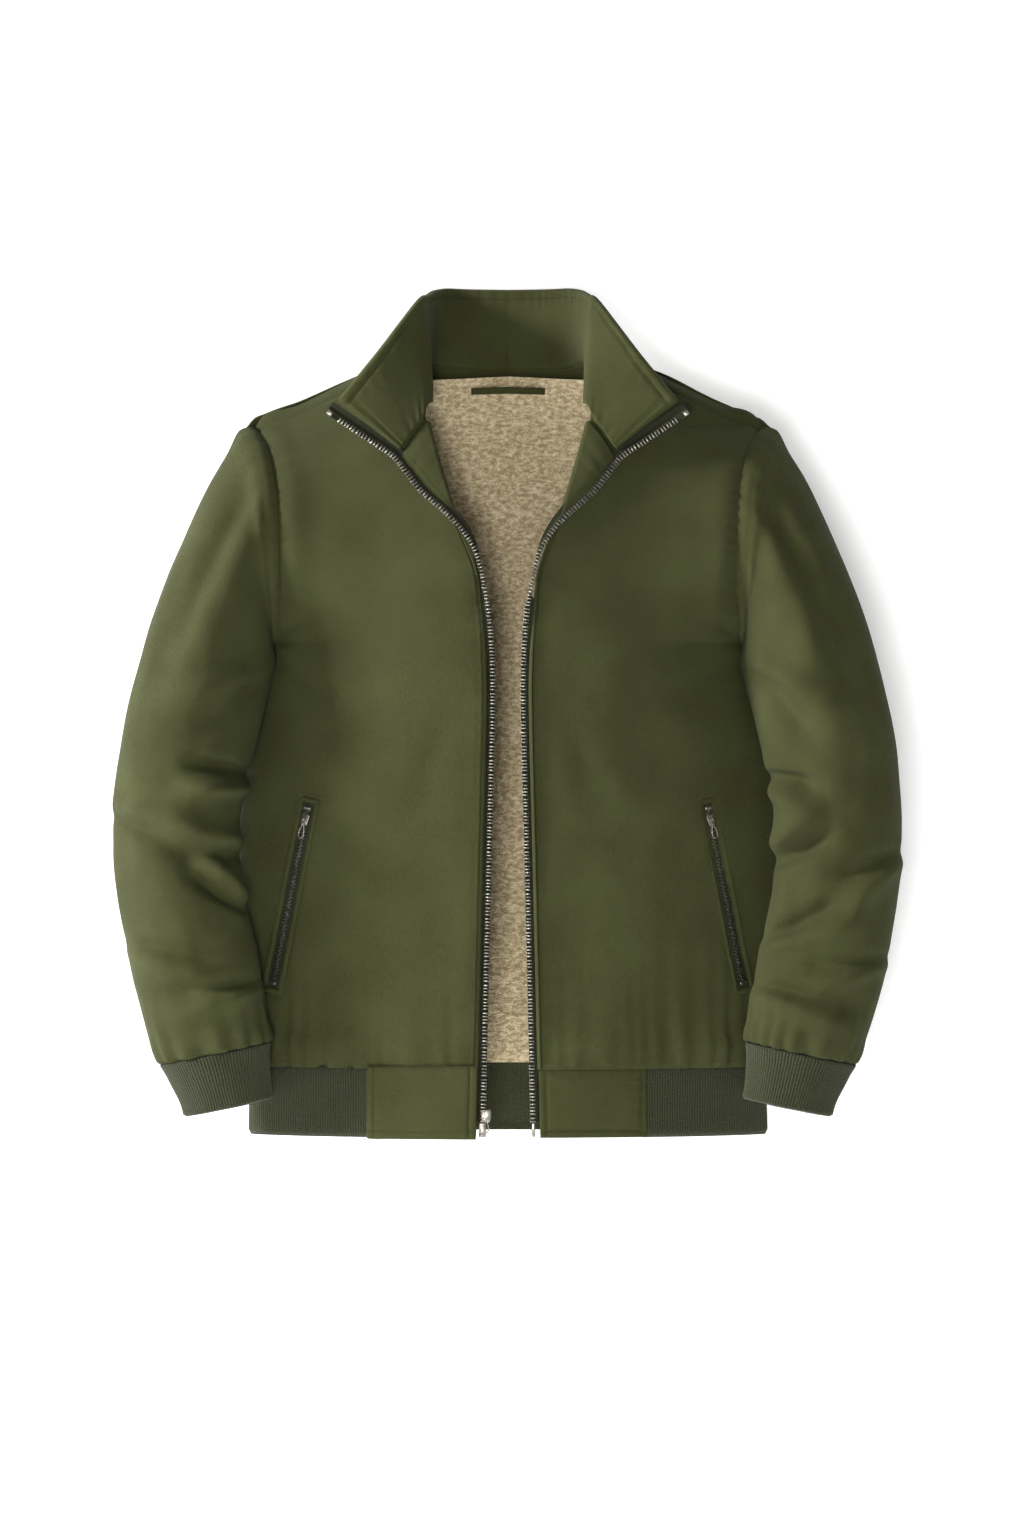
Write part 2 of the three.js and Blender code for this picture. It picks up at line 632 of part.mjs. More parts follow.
function collarLayer(offset, wall, endShare) {
  const bases = { '-1': collarBase(-1), 1: collarBase(1) };
  const tops = { '-1': collarTop(-1), 1: collarTop(1) };
  const surface = (u, v) => {
    const across = (2 * u - 1) * endShare;
    const sign = across < 0 ? -1 : 1;
    const t = Math.abs(across);
    return bases[sign](t).lerp(tops[sign](t), v);
  };
  const step = 0.01;
  return bentSlab(36, 3, (u, v, w) => {
    const here = surface(u, v);
    const du = surface(Math.min(u + step, 1), v).sub(surface(Math.max(u - step, 0), v));
    const dv = surface(u, Math.min(v + step, 1)).sub(surface(u, Math.max(v - step, 0)));
    const normal = vec(0, 0, 0).crossVectors(du, dv).normalize();
    return here.addScaledVector(normal, offset + wall * w);
  });
}

// ---- Main zip -----------------------------------------------------------------------------------
// The chain's centre line on one side, from the hem up the front edge and the collar to its tip.
const zipStep = 40;
const zipStartZ = hemZ + 14;
function zipLine(sign) {
  const points = [];
  for (let z = zipStartZ; z < foldZ - zipStep / 2; z += zipStep) {
    points.push(bodyPoint(zipX(z), z, lineInset(z), -1));
  }
  for (const [x, z] of lapelZip.slice(1)) {
    points.push(bodyPoint(x, z, lineInset(z), -1));
  }
  const end = vec(collarTip[0], -54, collarTip[1]);
  const start = points[points.length - 1];
  for (const share of [0.35, 0.7, 1]) {
    points.push(start.clone().lerp(end, share));
  }
  return path(points.map((point) => point.multiply(vec(sign, 1, 1))));
}
function lineInset(z) {
  return THREE.MathUtils.lerp(1.2, facingFront - facingWall - 0.2, THREE.MathUtils.smoothstep(z, -250, -205));
}

// A strip along a line, from `near` to `far` out of the cloth; `shift` moves it towards the cloth.
function stripAlong(line, sign, strip) {
  return bentSlab(strip.steps, 1, (u, v, w) => {
    const t = THREE.MathUtils.lerp(strip.from, strip.to, u);
    const step = 0.004;
    const along = line(Math.min(t + step, 1)).sub(line(Math.max(t - step, 0))).normalize();
    const across = vec(0, 0, 0).crossVectors(vec(0, 1, 0), along).normalize();
    const out = vec(0, 0, 0).crossVectors(along, across).normalize();
    if (out.y > 0) out.negate();
    return line(t).addScaledVector(across, (v - 0.5) * strip.width + sign * strip.shift)
      .addScaledVector(out, THREE.MathUtils.lerp(strip.near, strip.far, w));
  });
}

// The frame of the straight stretch: +Z up the chain, +Y out of the cloth or, turned, into it.
function straightFrame(sign, z, turned) {
  const at = (height) => bodyPoint(zipX(height), height, lineInset(height), -1).multiply(vec(sign, 1, 1));
  const zAxis = at(z + 150).sub(at(z)).normalize();
  const yAxis = vec(0, turned ? 1 : -1, 0).addScaledVector(zAxis, -zAxis.y * (turned ? 1 : -1)).normalize();
  const xAxis = vec(0, 0, 0).crossVectors(yAxis, zAxis).normalize();
  return new THREE.Matrix4().makeBasis(xAxis, yAxis, zAxis).setPosition(at(z));
}

function addMainSlider() {
  const holder = new THREE.Group();
  holder.applyMatrix4(straightFrame(-1, zipStartZ + sliderHeight / 2 + seamGap, true));
  const toOpening = chainWidth / 2 + seamGap + sliderPost / 2;
  const slider = sliderBody(tapeWall, -chainSeat - chainWall, mainSliderWidth);
  addPiece(holder, 'main_slider', slider.geometry, metal).position.set(toOpening, 0, 0);
  const pull = addPiece(holder, 'main_pull', pullPlate(mainPullLength), metal);
  pull.position.copy(slider.pivot).add(vec(toOpening, 0, 0));
  group.add(holder);
}

function addZipEnds() {
  const endHeight = 12.5;
  const endDepth = 3.6;
  const end = (sign, name, width) => {
    const holder = new THREE.Group();
    holder.applyMatrix4(straightFrame(sign, zipStartZ, false));
    const piece = weld(block(width, endDepth, endHeight, 0, 1, -endHeight / 2 - seamGap));
    addPiece(holder, name, piece, metal);
    group.add(holder);
  };
  end(-1, 'retainer_box', 6.4);
  end(1, 'insertion_pin', 2.6);
}

// ---- Hang loop ----------------------------------------------------------------------------------
function hangLoop() {
  const loop = { half: 32, height: 6, wall: 1.2, reach: 12, middleZ: -14 };
  return bentSlab(14, 1, (u, v, w) => {
    const x = loop.half * (2 * u - 1);
    const z = loop.middleZ + (v - 0.5) * loop.height;
    const bulge = loop.reach * Math.cos((Math.PI / 2) * (2 * u - 1)) ** 0.8;
    const seat = bodyPoint(x, z, liningInset + liningWall + 2, 1);
    return vec(x, seat.y - bulge - loop.wall * w, seat.z);
  });
}

// ---- Assembly -----------------------------------------------------------------------------------
const sides = [['right', -1], ['left', 1]];

addPiece(group, 'back_panel', backPanel(0, shellWall, 20, 15), cloth);
const backLiningInset = liningInset + 0.6;
addPiece(group, 'lining_back', backPanel(backLiningInset, backLiningInset + liningWall, 20, 15), pile);
addPiece(group, 'hang_loop', hangLoop(), cloth);
const panelSteps = 12;
const liningFrom = 4; // the lining starts this many steps in, where the facing ends
const endOfChain = 0.985;
for (const [side, sign] of sides) {
  const panel = frontPanel(sign, 0, shellWall, panelSteps, 18);
  addPiece(group, `${side}_front_panel`, cut(panel, pocketCutter(sign)), cloth);
  const lining = frontPanel(
    sign, liningInset, liningInset + liningWall, panelSteps - liningFrom, 18, liningFrom / panelSteps,
  );
  addPiece(group, `${side}_front_lining`, lining, pile);
  const facing = thickSheet(12, 18, (u, v) => facingPoint(sign, u, v), facingWall);
  addPiece(group, `${side}_facing`, facing, cloth);
  addPiece(group, `${side}_sleeve`, sleeve(sign, 0, shellWall, 16, 13), cloth);
  addPiece(group, `${side}_sleeve_lining`, sleeve(sign, 4.9, 7.1, 16, 13, 0.01), cloth);
  addPiece(group, `${side}_cuff`, cuff(sign), rib);
  addPiece(group, `${side}_hem_tab`, hemTab(sign), cloth);
  addPocket(side, sign);
  addPiece(group, `${side}_pocket_bag`, pocketBag(sign), tapeCloth);
  const line = zipLine(sign);
  const addStrip = (name, strip, finish) => {
    addPiece(group, `${side}_${name}`, stripAlong(line, sign, strip), finish);
  };
  const tapeWidth = chainWidth + tapeBeyondChain;
  const tapeStrip = { width: tapeWidth, shift: tapeBeyondChain / 2, near: -tapeWall, far: 0 };
  addStrip('zip_tape', { ...tapeStrip, steps: 28, from: 0, to: 1 }, tapeCloth);
  const chainStrip = { width: chainWidth, shift: 0, near: chainSeat, far: chainSeat + chainWall };
  addStrip('zip_chain', { ...chainStrip, steps: 28, from: 0, to: endOfChain }, metal);
  const stopFace = chainSeat + chainWall + 0.4;
  const stopStrip = { width: chainWidth + 0.6, shift: 0, near: chainSeat, far: stopFace };
  addStrip('top_stop', { ...stopStrip, steps: 1, from: endOfChain + 0.002, to: 1 }, metal);
}
addMainSlider();
addZipEnds();
addPiece(group, 'hem_rib', hemRib(), rib);
const interlining = 0.9;
const collarGap = 1.1;
const collarReach = 0.985; // share of the seam line that the collar layers cover
addPiece(group, 'collar_outer', collarLayer(0, shellWall, collarReach), cloth);
addPiece(group, 'collar_interlining', collarLayer(shellWall + collarGap, interlining, collarReach), tapeCloth);
addPiece(group, 'collar_inner', collarLayer(shellWall + interlining + 2 * collarGap, 2, collarReach), cloth);

export default group;
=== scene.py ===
"""Olive stand-collar jacket with a pile lining, ribbed cuffs and hem and an open zip.

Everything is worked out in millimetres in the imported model's own frame (+Z up, the front faces -Y, the
origin at the height of the back neck seam) and written to the meshes in metres.
"""
import logging
import math
from bisect import bisect_right
from dataclasses import dataclass, field
from enum import Enum
from typing import Callable, Sequence

import bmesh
import bpy
from mathutils import Matrix, Vector, noise


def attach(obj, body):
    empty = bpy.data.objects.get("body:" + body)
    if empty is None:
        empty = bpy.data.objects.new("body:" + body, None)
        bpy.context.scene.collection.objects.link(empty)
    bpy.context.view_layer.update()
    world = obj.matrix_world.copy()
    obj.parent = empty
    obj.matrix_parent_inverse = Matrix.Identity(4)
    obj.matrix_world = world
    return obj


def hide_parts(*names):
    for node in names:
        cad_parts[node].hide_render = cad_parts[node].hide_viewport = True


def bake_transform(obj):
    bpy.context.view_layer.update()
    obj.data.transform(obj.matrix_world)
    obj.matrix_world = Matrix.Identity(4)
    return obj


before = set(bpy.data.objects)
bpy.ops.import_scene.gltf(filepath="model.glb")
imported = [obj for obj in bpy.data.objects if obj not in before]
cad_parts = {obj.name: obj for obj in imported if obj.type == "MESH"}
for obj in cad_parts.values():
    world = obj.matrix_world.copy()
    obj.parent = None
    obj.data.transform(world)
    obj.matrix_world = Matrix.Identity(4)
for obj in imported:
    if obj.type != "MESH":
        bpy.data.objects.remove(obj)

log = logging.getLogger("jacket")
MM = 0.001
TORSO = "torso"
Place = Callable[[float, float], Vector]


class Side(Enum):
    """The wearer's side, with the sign of its X."""

    RIGHT = -1
    LEFT = 1

    @property
    def word(self) -> str:
        """Return the side's name as the node names spell it."""
        return self.name.lower()

    def mirror(self, point: Vector) -> Vector:
        """Return a point of the wearer's left side on this side."""
        return Vector((self.value * point.x, point.y, point.z))


# ---- Numbers and curves ------------------------------------------------------------------------------
def lerp(a: float, b: float, t: float) -> float:
    """Return the value a share t of the way from a to b."""
    return a + (b - a) * t


def clamp(value: float, low: float = 0.0, high: float = 1.0) -> float:
    """Return value held between low and high."""
    return max(low, min(high, value))


def smooth(value: float, low: float, high: float) -> float:
    """Return 0 below low, 1 above high and a smooth step between."""
    t = clamp((value - low) / (high - low))
    return t * t * (3 - 2 * t)


def bump(value: float, centre: float, width: float) -> float:
    """Return a bell that is 1 at centre and fades over width."""
    return math.exp(-((value - centre) / width) ** 2)


class Profile:
    """A smooth function through (at, value) stations, level beyond both ends."""

    def __init__(self, *stations: tuple[float, float]) -> None:
        """Keep the stations in order.

        Args:
            stations: The (at, value) pairs.
        """
        self.stations = sorted(stations)
        self.keys = [at for at, _ in self.stations]

    def __call__(self, at: float) -> float:
        """Return the value at a place between the stations."""
        points = self.stations
        last = len(points) - 1
        if at <= points[0][0]:
            return points[0][1]
        if at >= points[last][0]:
            return points[last][1]
        i = bisect_right(self.keys, at) - 1
        (x0, y0), (x1, y1) = points[i], points[i + 1]
        before, after = points[max(i - 1, 0)], points[min(i + 2, last)]
        slope0 = (y1 - before[1]) / (x1 - before[0])
        slope1 = (after[1] - y0) / (after[0] - x0)
        span = x1 - x0
        t = (at - x0) / span
        t2, t3 = t * t, t * t * t
        start = (2 * t3 - 3 * t2 + 1) * y0 + (t3 - 2 * t2 + t) * span * slope0
        return start + (3 * t2 - 2 * t3) * y1 + (t3 - t2) * span * slope1


class Route:
    """A Catmull-Rom curve through points; its parameter runs 0 to 1, a station to each point."""

    def __init__(self, points: Sequence[Vector]) -> None:
        """Keep the points, with one more past each end.

        Args:
            points: The points that the curve passes through.
        """
        first, last = points[0] * 2 - points[1], points[-1] * 2 - points[-2]
        self.points = [first, *points, last]
        self.spans = len(points) - 1

    def __call__(self, t: float) -> Vector:
        """Return the point at parameter t."""
        at = clamp(t) * self.spans
        i = min(int(at), self.spans - 1)
        s = at - i
        p0, p1, p2, p3 = self.points[i:i + 4]
        m1, m2 = (p2 - p0) * 0.5, (p3 - p1) * 0.5
        s2, s3 = s * s, s * s * s
        start = p1 * (2 * s3 - 3 * s2 + 1) + m1 * (s3 - 2 * s2 + s)
        return start + p2 * (3 * s2 - 2 * s3) + m2 * (s3 - s2)


def flat_route(pairs: Sequence[tuple[float, float]]) -> Route:
    """Return a route in the X-Z plane."""
    return Route([Vector((x, 0, z)) for x, z in pairs])


def normal_of(place: Place, u: float, v: float, step: float = 0.002) -> Vector:
    """Return the unit normal of a surface, on the side where u, v and it are right-handed."""
    du = place(min(u + step, 1), v) - place(max(u - step, 0), v)
    dv = place(u, min(v + step, 1)) - place(u, max(v - step, 0))
    return du.cross(dv).normalized()


# ---- Creases and puckers -----------------------------------------------------------------------------
@dataclass(frozen=True)
class Crease:
    """A pinched fold in the cloth, seen from the front as a line from start to end.

    The cloth sinks along the line and stands up beside it, on the side that `ridge` says.
    """

    start: tuple[float, float]
    end: tuple[float, float]
    depth: float
    width: float
    ridge: float = 1.0

    def lift(self, x: float, z: float) -> float:
        """Return how far the cloth stands out at (x, z), in millimetres."""
        ax, az = self.start
        bx, bz = self.end[0] - ax, self.end[1] - az
        length = math.hypot(bx, bz)
        along = ((x - ax) * bx + (z - az) * bz) / (length * length)
        if along < -0.5 or along > 1.5:
            return 0.0
        off = ((x - ax) * bz - (z - az) * bx) / length
        fade = smooth(along, -0.35, 0.2) * (1 - smooth(along, 0.7, 1.35))
        spread = self.width * (0.55 + 0.75 * clamp(along))
        valley = bump(off, 0, spread)
        hill = bump(off, 1.9 * spread * self.ridge, 1.3 * spread)
        return self.depth * fade * (0.8 * hill - valley)


def cloth_swell(x: float, z: float, seed: float) -> float:
    """Return the slow unevenness of hanging cloth at (x, z), between about -1 and 1."""
    slow = noise.noise(Vector((x / 95, seed, z / 150)))
    quick = noise.noise(Vector((x / 38, seed + 7, z / 70)))
    return slow + 0.35 * quick


def pucker(along: float, seed: float, pitch: float = 13.0) -> float:
    """Return the ripple of cloth gathered into a seam, at a distance along the seam."""
    drift = noise.noise(Vector((along / 60, seed, 0.3)))
    wave = math.sin(2 * math.pi * (along / pitch + 1.7 * drift))
    return wave * (0.65 + 0.7 * noise.noise(Vector((along / 27, seed, 4.1))))


# ---- The jacket's form -------------------------------------------------------------------------------
@dataclass
class JacketForm:
    """The sizes that every piece shares, and the surface that the cloth lies on."""

    body_length: float = 678
    rib_height: float = 60
    collar_height: float = 69
    shoulder_half: float = 232
    shoulder_drop: float = 57
    armhole_depth: float = 188
    armhole_half_depth: float = 50
    chest_half: float = 207
    waist_half: float = 238
    hem_half: float = 229
    chest_depth: float = 66
    hem_depth: float = 50
    neck_half: float = 74
    zip_half_gap: float = 15
    zip_hem_spread: float = 7.5
    cloth_to_chain: float = 4.2
    tab_outer: float = 121
    fold_z: float = -197
    straight_top_z: float = -300
    straight_share: float = 0.55
    collar_tip: tuple[float, float] = (157.5, -46)
    facing_front: float = -3.4
    facing_wall: float = 1.8
    fold_gap: float = 2.6
    sleeve_reach: float = 111
    cuff_height: float = 47
    armhole_gap: float = 0.8
    pocket_length: float = 168
    pocket_top: tuple[float, float] = (173, -385)
    pocket_lean: float = math.radians(11.5)

    def __post_init__(self) -> None:
        """Work out the levels and the curves."""
        self.hem_z = -self.body_length
        self.rib_top_z = self.hem_z + self.rib_height
        self.shoulder_z = -self.shoulder_drop
        self.underarm_z = self.shoulder_z - self.armhole_depth
        self.armhole_middle = (self.shoulder_z + self.underarm_z) / 2
        self.back_neck_z = -2.0
        self.neck_side = (self.neck_half + 6, 0.0)
        self.shoulder_top = Profile(
            (0, 48), (self.neck_half, 4), (125, -6), (181, -33), (215, -46),
            (self.shoulder_half, self.shoulder_z),
        )
        self.side_half = Profile(
            (self.shoulder_z, self.shoulder_half), (-72, 221), (-92, 214), (-120, 209),
            (-160, self.chest_half), (self.underarm_z, self.chest_half), (-270, 211), (-284, 215),
            (-319, 223), (-345, 228), (-375, 234), (-410, self.waist_half), (-520, self.waist_half),
            (-580, 234), (self.rib_top_z, self.hem_half), (self.hem_z, self.hem_half),
        )
        self.depth = Profile(
            (0, self.chest_depth - 2), (self.underarm_z, self.chest_depth),
            (self.straight_top_z, self.chest_depth - 1), (-470, self.straight_depth(-470)),
            (self.rib_top_z, self.straight_depth(self.rib_top_z)), (self.hem_z, self.hem_depth),
        )
        narrow, wide = self.zip_half_gap - 1.5, self.zip_half_gap + self.zip_hem_spread
        self.zip_x = Profile(
            (-221, self.zip_half_gap + 1.3), (-260, self.zip_half_gap - 1), (self.straight_top_z, narrow),
            (-420, lerp(wide, narrow, self.straight_part(-420))), (self.hem_z, wide),
        )
        start = (self.zip_x(-221), -221)
        self.lapel_zip = flat_route([
            start, (20, self.fold_z), (25, -175), (34, -156), (51, -136), (73, -116), (84, -102), (97, -86),
        ])
        self.lapel_roll = flat_route([
            start, (20, self.fold_z), (24, -185), (31, -168), (42, -142), (53, -108), (62, -77), (69, -49),
        ])

    def straight_part(self, z: float) -> float:
        """Return how far up the straight stretch of the front edge z is, 0 at the hem."""
        return (z - self.hem_z) / (self.straight_top_z - self.hem_z)

    def straight_depth(self, z: float) -> float:
        """Return the body's half depth on the straight stretch."""
        return lerp(self.hem_depth, self.chest_depth - 1, self.straight_part(z))

    def back_neck_line(self, x: float) -> float:
        """Return the height of the back neck seam at x."""
        return lerp(self.back_neck_z, self.neck_side[1], (x / self.neck_side[0]) ** 2)

    def armhole_y(self, z: float) -> float:
        """Return the armhole's half depth at height z."""
        share = (z - self.armhole_middle) / (self.armhole_depth / 2)
        return self.armhole_half_depth * max(0.0, 1 - share * share) ** 0.7

    def body_point(self, x: float, z: float, inset: float, side: int) -> Vector:
        """Return a point of the body cloth.

        Args:
            x: Distance from the centre line.
            z: Height.
            inset: Distance behind the outer face.
            side: -1 on the front and 1 on the back.

        Returns:
            The point, in millimetres.
        """
        half = self.side_half(z)
        share = min(abs(x) / half, 1)
        rise = clamp((z + 230) / (self.shoulder_top(abs(x)) + 230))
        shoulder_round = (1 - rise ** 3) ** 0.6
        middle = (self.depth(z) - inset) * shoulder_round * (1 - share * share) ** 0.7
        edge = self.armhole_y(z) * (1 - inset / self.armhole_half_depth) * share ** 4
        y = side * (0.15 + middle + edge)
        return Vector((x * (1 - inset / half), y, z - inset * 1.3 * rise ** 4))

    def edge_at(self, v: float, lapel: Route) -> tuple[float, float]:
        """Return (x, z) up the front edge: the zip below, and the lapel's own line above."""
        if v <= self.straight_share:
            z = lerp(self.rib_top_z, -221, v / self.straight_share)
            return self.zip_x(z), z
        point = lapel((v - self.straight_share) / (1 - self.straight_share))
        return point.x, point.z

    def fold_shift(self, v: float) -> float:
        """Return how far the cloth's fold stands off the zip line or the roll line."""
        share = smooth(v, self.straight_share, self.straight_share + 0.2)
        return lerp(self.cloth_to_chain + self.fold_gap, self.fold_gap, share)

    def zip_route(self, side: Side) -> Route:
        """Return the centre line of a tooth chain, from the hem to the collar's tip."""
        points = []
        z = self.hem_z + 14
        while z < self.fold_z - 20:
            points.append(self.body_point(self.zip_x(z), z, self.line_inset(z), -1))
            z += 40
        for i in range(1, 8):
            spot = self.lapel_zip(i / 7)
            points.append(self.body_point(spot.x, spot.z, self.line_inset(spot.z), -1))
        end = Vector((self.collar_tip[0], -54, self.collar_tip[1]))
        points += [points[-1].lerp(end, share) for share in (0.35, 0.7, 1)]
        return Route([side.mirror(point) for point in points])

    def line_inset(self, z: float) -> float:
        """Return the chain line's place behind the shell's face at height z."""
        return lerp(1.2, self.facing_front - self.facing_wall - 0.2, smooth(z, -250, -205))


FORM = JacketForm()


# ---- Meshes ------------------------------------------------------------------------------------------
def cloth_grid(columns: int, rows: int, place: Place, size: tuple[float, float]) -> bmesh.types.BMesh:
    """Make a grid of cloth and lay it on a surface.

    Args:
        columns: Cells across.
        rows: Cells along.
        place: The surface, from (u, v) in 0 to 1 to millimetres.
        size: The cloth's width and length in millimetres, for its UVs.

    Returns:
        The mesh, in metres, with its UVs in millimetres.
    """
    bm = bmesh.new()
    bmesh.ops.create_grid(bm, x_segments=columns, y_segments=rows, size=0.5)
    uv = bm.loops.layers.uv.new("cloth")
    for face in bm.faces:
        face.smooth = True
        for loop in face.loops:
            loop[uv].uv = ((loop.vert.co.x + 0.5) * size[0], (loop.vert.co.y + 0.5) * size[1])
    for vert in bm.verts:
        vert.co = place(clamp(vert.co.x + 0.5), clamp(vert.co.y + 0.5)) * MM
    return bm


def face_towards(bm: bmesh.types.BMesh, away_from: Vector) -> None:
    """Turn the whole sheet over if its faces look, on balance, at a point in millimetres."""
    total = sum((f.calc_center_median() - away_from * MM).dot(f.normal) * f.calc_area() for f in bm.faces)
    if total < 0:
        bmesh.ops.reverse_faces(bm, faces=bm.faces[:])


def make_piece(name: str, bm: bmesh.types.BMesh, material: bpy.types.Material, body: str = TORSO,
               wall: float = 0.0, offset: float = -1.0) -> bpy.types.Object:
    """Turn a mesh into a finished piece that rides on a body.

    Args:
        name: The piece's name.
        bm: The mesh, which is freed.
        material: Its material.
        body: The CAD body it rides on, or an empty name to leave it unattached.
        wall: Thickness to give a sheet, in millimetres.
        offset: Where the wall lies: -1 behind the faces, 1 in front of them.

    Returns:
        The new object.
    """
    bm.normal_update()
    mesh = bpy.data.meshes.new(name)
    bm.to_mesh(mesh)
    bm.free()
    mesh.materials.append(material)
    piece = bpy.data.objects.new(name, mesh)
    bpy.context.scene.collection.objects.link(piece)
    if wall:
        solid = piece.modifiers.new("Wall", "SOLIDIFY")
        solid.thickness = wall * MM
        solid.offset = offset
        solid.use_even_offset = False
    if body:
        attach(piece, body)
    log.info("%s: %d faces", name, len(mesh.polygons))
    return piece


def box_template(size: tuple[float, float, float], bevel: float, segments: int = 2) -> bpy.types.Mesh:
    """Return a bevelled block about the origin, its size and bevel in millimetres."""
    bm = bmesh.new()
    bmesh.ops.create_cube(bm, size=1)
    bmesh.ops.scale(bm, vec=size, verts=bm.verts[:])
    bmesh.ops.bevel(bm, geom=bm.edges[:], offset=bevel, segments=segments, profile=0.5, affect="EDGES",
                    material=-1)
    return to_template(bm)


def stitch_template(length: float, thick: float) -> bpy.types.Mesh:
    """Return one stitch along X as a slim rounded grain, in millimetres."""
    bm = bmesh.new()
    bmesh.ops.create_uvsphere(bm, u_segments=6, v_segments=6, radius=0.5)
    bmesh.ops.scale(bm, vec=(length, thick, thick), verts=bm.verts[:])
    return to_template(bm)


def tube_template(points: Sequence[Vector], radius: float, closed: bool, sides: int = 8) -> bpy.types.Mesh:
    """Return a round wire along points in millimetres."""
    bm = bmesh.new()
    count = len(points)
    rings = []
    for i, point in enumerate(points):
        before = points[i - 1] if closed or i else point
        after = points[(i + 1) % count] if closed or i < count - 1 else point
        along = (after - before).normalized()
        turn = along.to_track_quat("Z", "Y").to_matrix().to_4x4()
        ring = bmesh.ops.create_circle(bm, segments=sides, radius=radius, cap_ends=False,
                                       matrix=Matrix.Translation(point) @ turn)
        rings.append([edge for edge in {e for v in ring["verts"] for e in v.link_edges}])
    pairs = list(zip(rings, rings[1:])) + ([(rings[-1], rings[0])] if closed else [])
    for one, other in pairs:
        bmesh.ops.bridge_loops(bm, edges=one + other)
    if not closed:
        bmesh.ops.holes_fill(bm, edges=bm.edges[:], sides=sides)
    bmesh.ops.recalc_face_normals(bm, faces=bm.faces[:])
    return to_template(bm)


def to_template(bm: bmesh.types.BMesh) -> bpy.types.Mesh:
    """Return the mesh as data that can be stamped, shaded smooth."""
    for face in bm.faces:
        face.smooth = True
    mesh = bpy.data.meshes.new("template")
    bm.to_mesh(mesh)
    bm.free()
    return mesh


def stamp(bm: bmesh.types.BMesh, template: bpy.types.Mesh, matrix: Matrix) -> None:
    """Add a copy of a template in millimetres to a mesh in metres."""
    first = len(bm.verts)
    bm.from_mesh(template)
    bm.verts.ensure_lookup_table()
    added = bm.verts[first:]
    bmesh.ops.transform(bm, matrix=Matrix.Scale(MM, 4) @ matrix, verts=added)


def basis(x_axis: Vector, y_axis: Vector, z_axis: Vector, origin: Vector) -> Matrix:
    """Return the matrix with these axes and this origin."""
    turn = Matrix((x_axis, y_axis, z_axis)).transposed()
    return Matrix.Translation(origin) @ turn.to_4x4()


@dataclass(frozen=True)
class Seam:
    """A row of stitches along a line on the cloth."""

    pitch: float = 3.2
    length: float = 2.5
    thick: float = 0.75
    steps: int = 160

    def sew(self, bm: bmesh.types.BMesh, line: Callable[[float], Vector], out: Vector) -> None:
        """Add the stitches along a line.

        Args:
            bm: The mesh that takes them.
            line: Points in millimetres for 0 to 1.
            out: Roughly the way out of the cloth.
        """
        grain = stitch_template(self.length, self.thick)
        samples = [line(i / self.steps) for i in range(self.steps + 1)]
        lengths = [0.0]
        for a, b in zip(samples, samples[1:]):
            lengths.append(lengths[-1] + (b - a).length)
        for k in range(int(lengths[-1] / self.pitch)):
            want = (k + 0.5) * self.pitch
            i = min(bisect_right(lengths, want) - 1, self.steps - 1)
            share = (want - lengths[i]) / max(lengths[i + 1] - lengths[i], 1e-6)
            along = (samples[i + 1] - samples[i]).normalized()
            across = out.cross(along).normalized()
            spot = samples[i].lerp(samples[i + 1], share)
            stamp(bm, grain, basis(along, across, along.cross(across), spot))
        bpy.data.meshes.remove(grain)


# ---- Materials ---------------------------------------------------------------------------------------
def colour(code: str) -> tuple[float, float, float, float]:
    """Return an sRGB hex code as linear RGBA."""
    def linear(channel: float) -> float:
        """Return one channel made linear."""
        return channel / 12.92 if channel <= 0.04045 else ((channel + 0.055) / 1.055) ** 2.4

    red, green, blue = (linear(int(code[i:i + 2], 16) / 255) for i in (1, 3, 5))
    return red, green, blue, 1.0


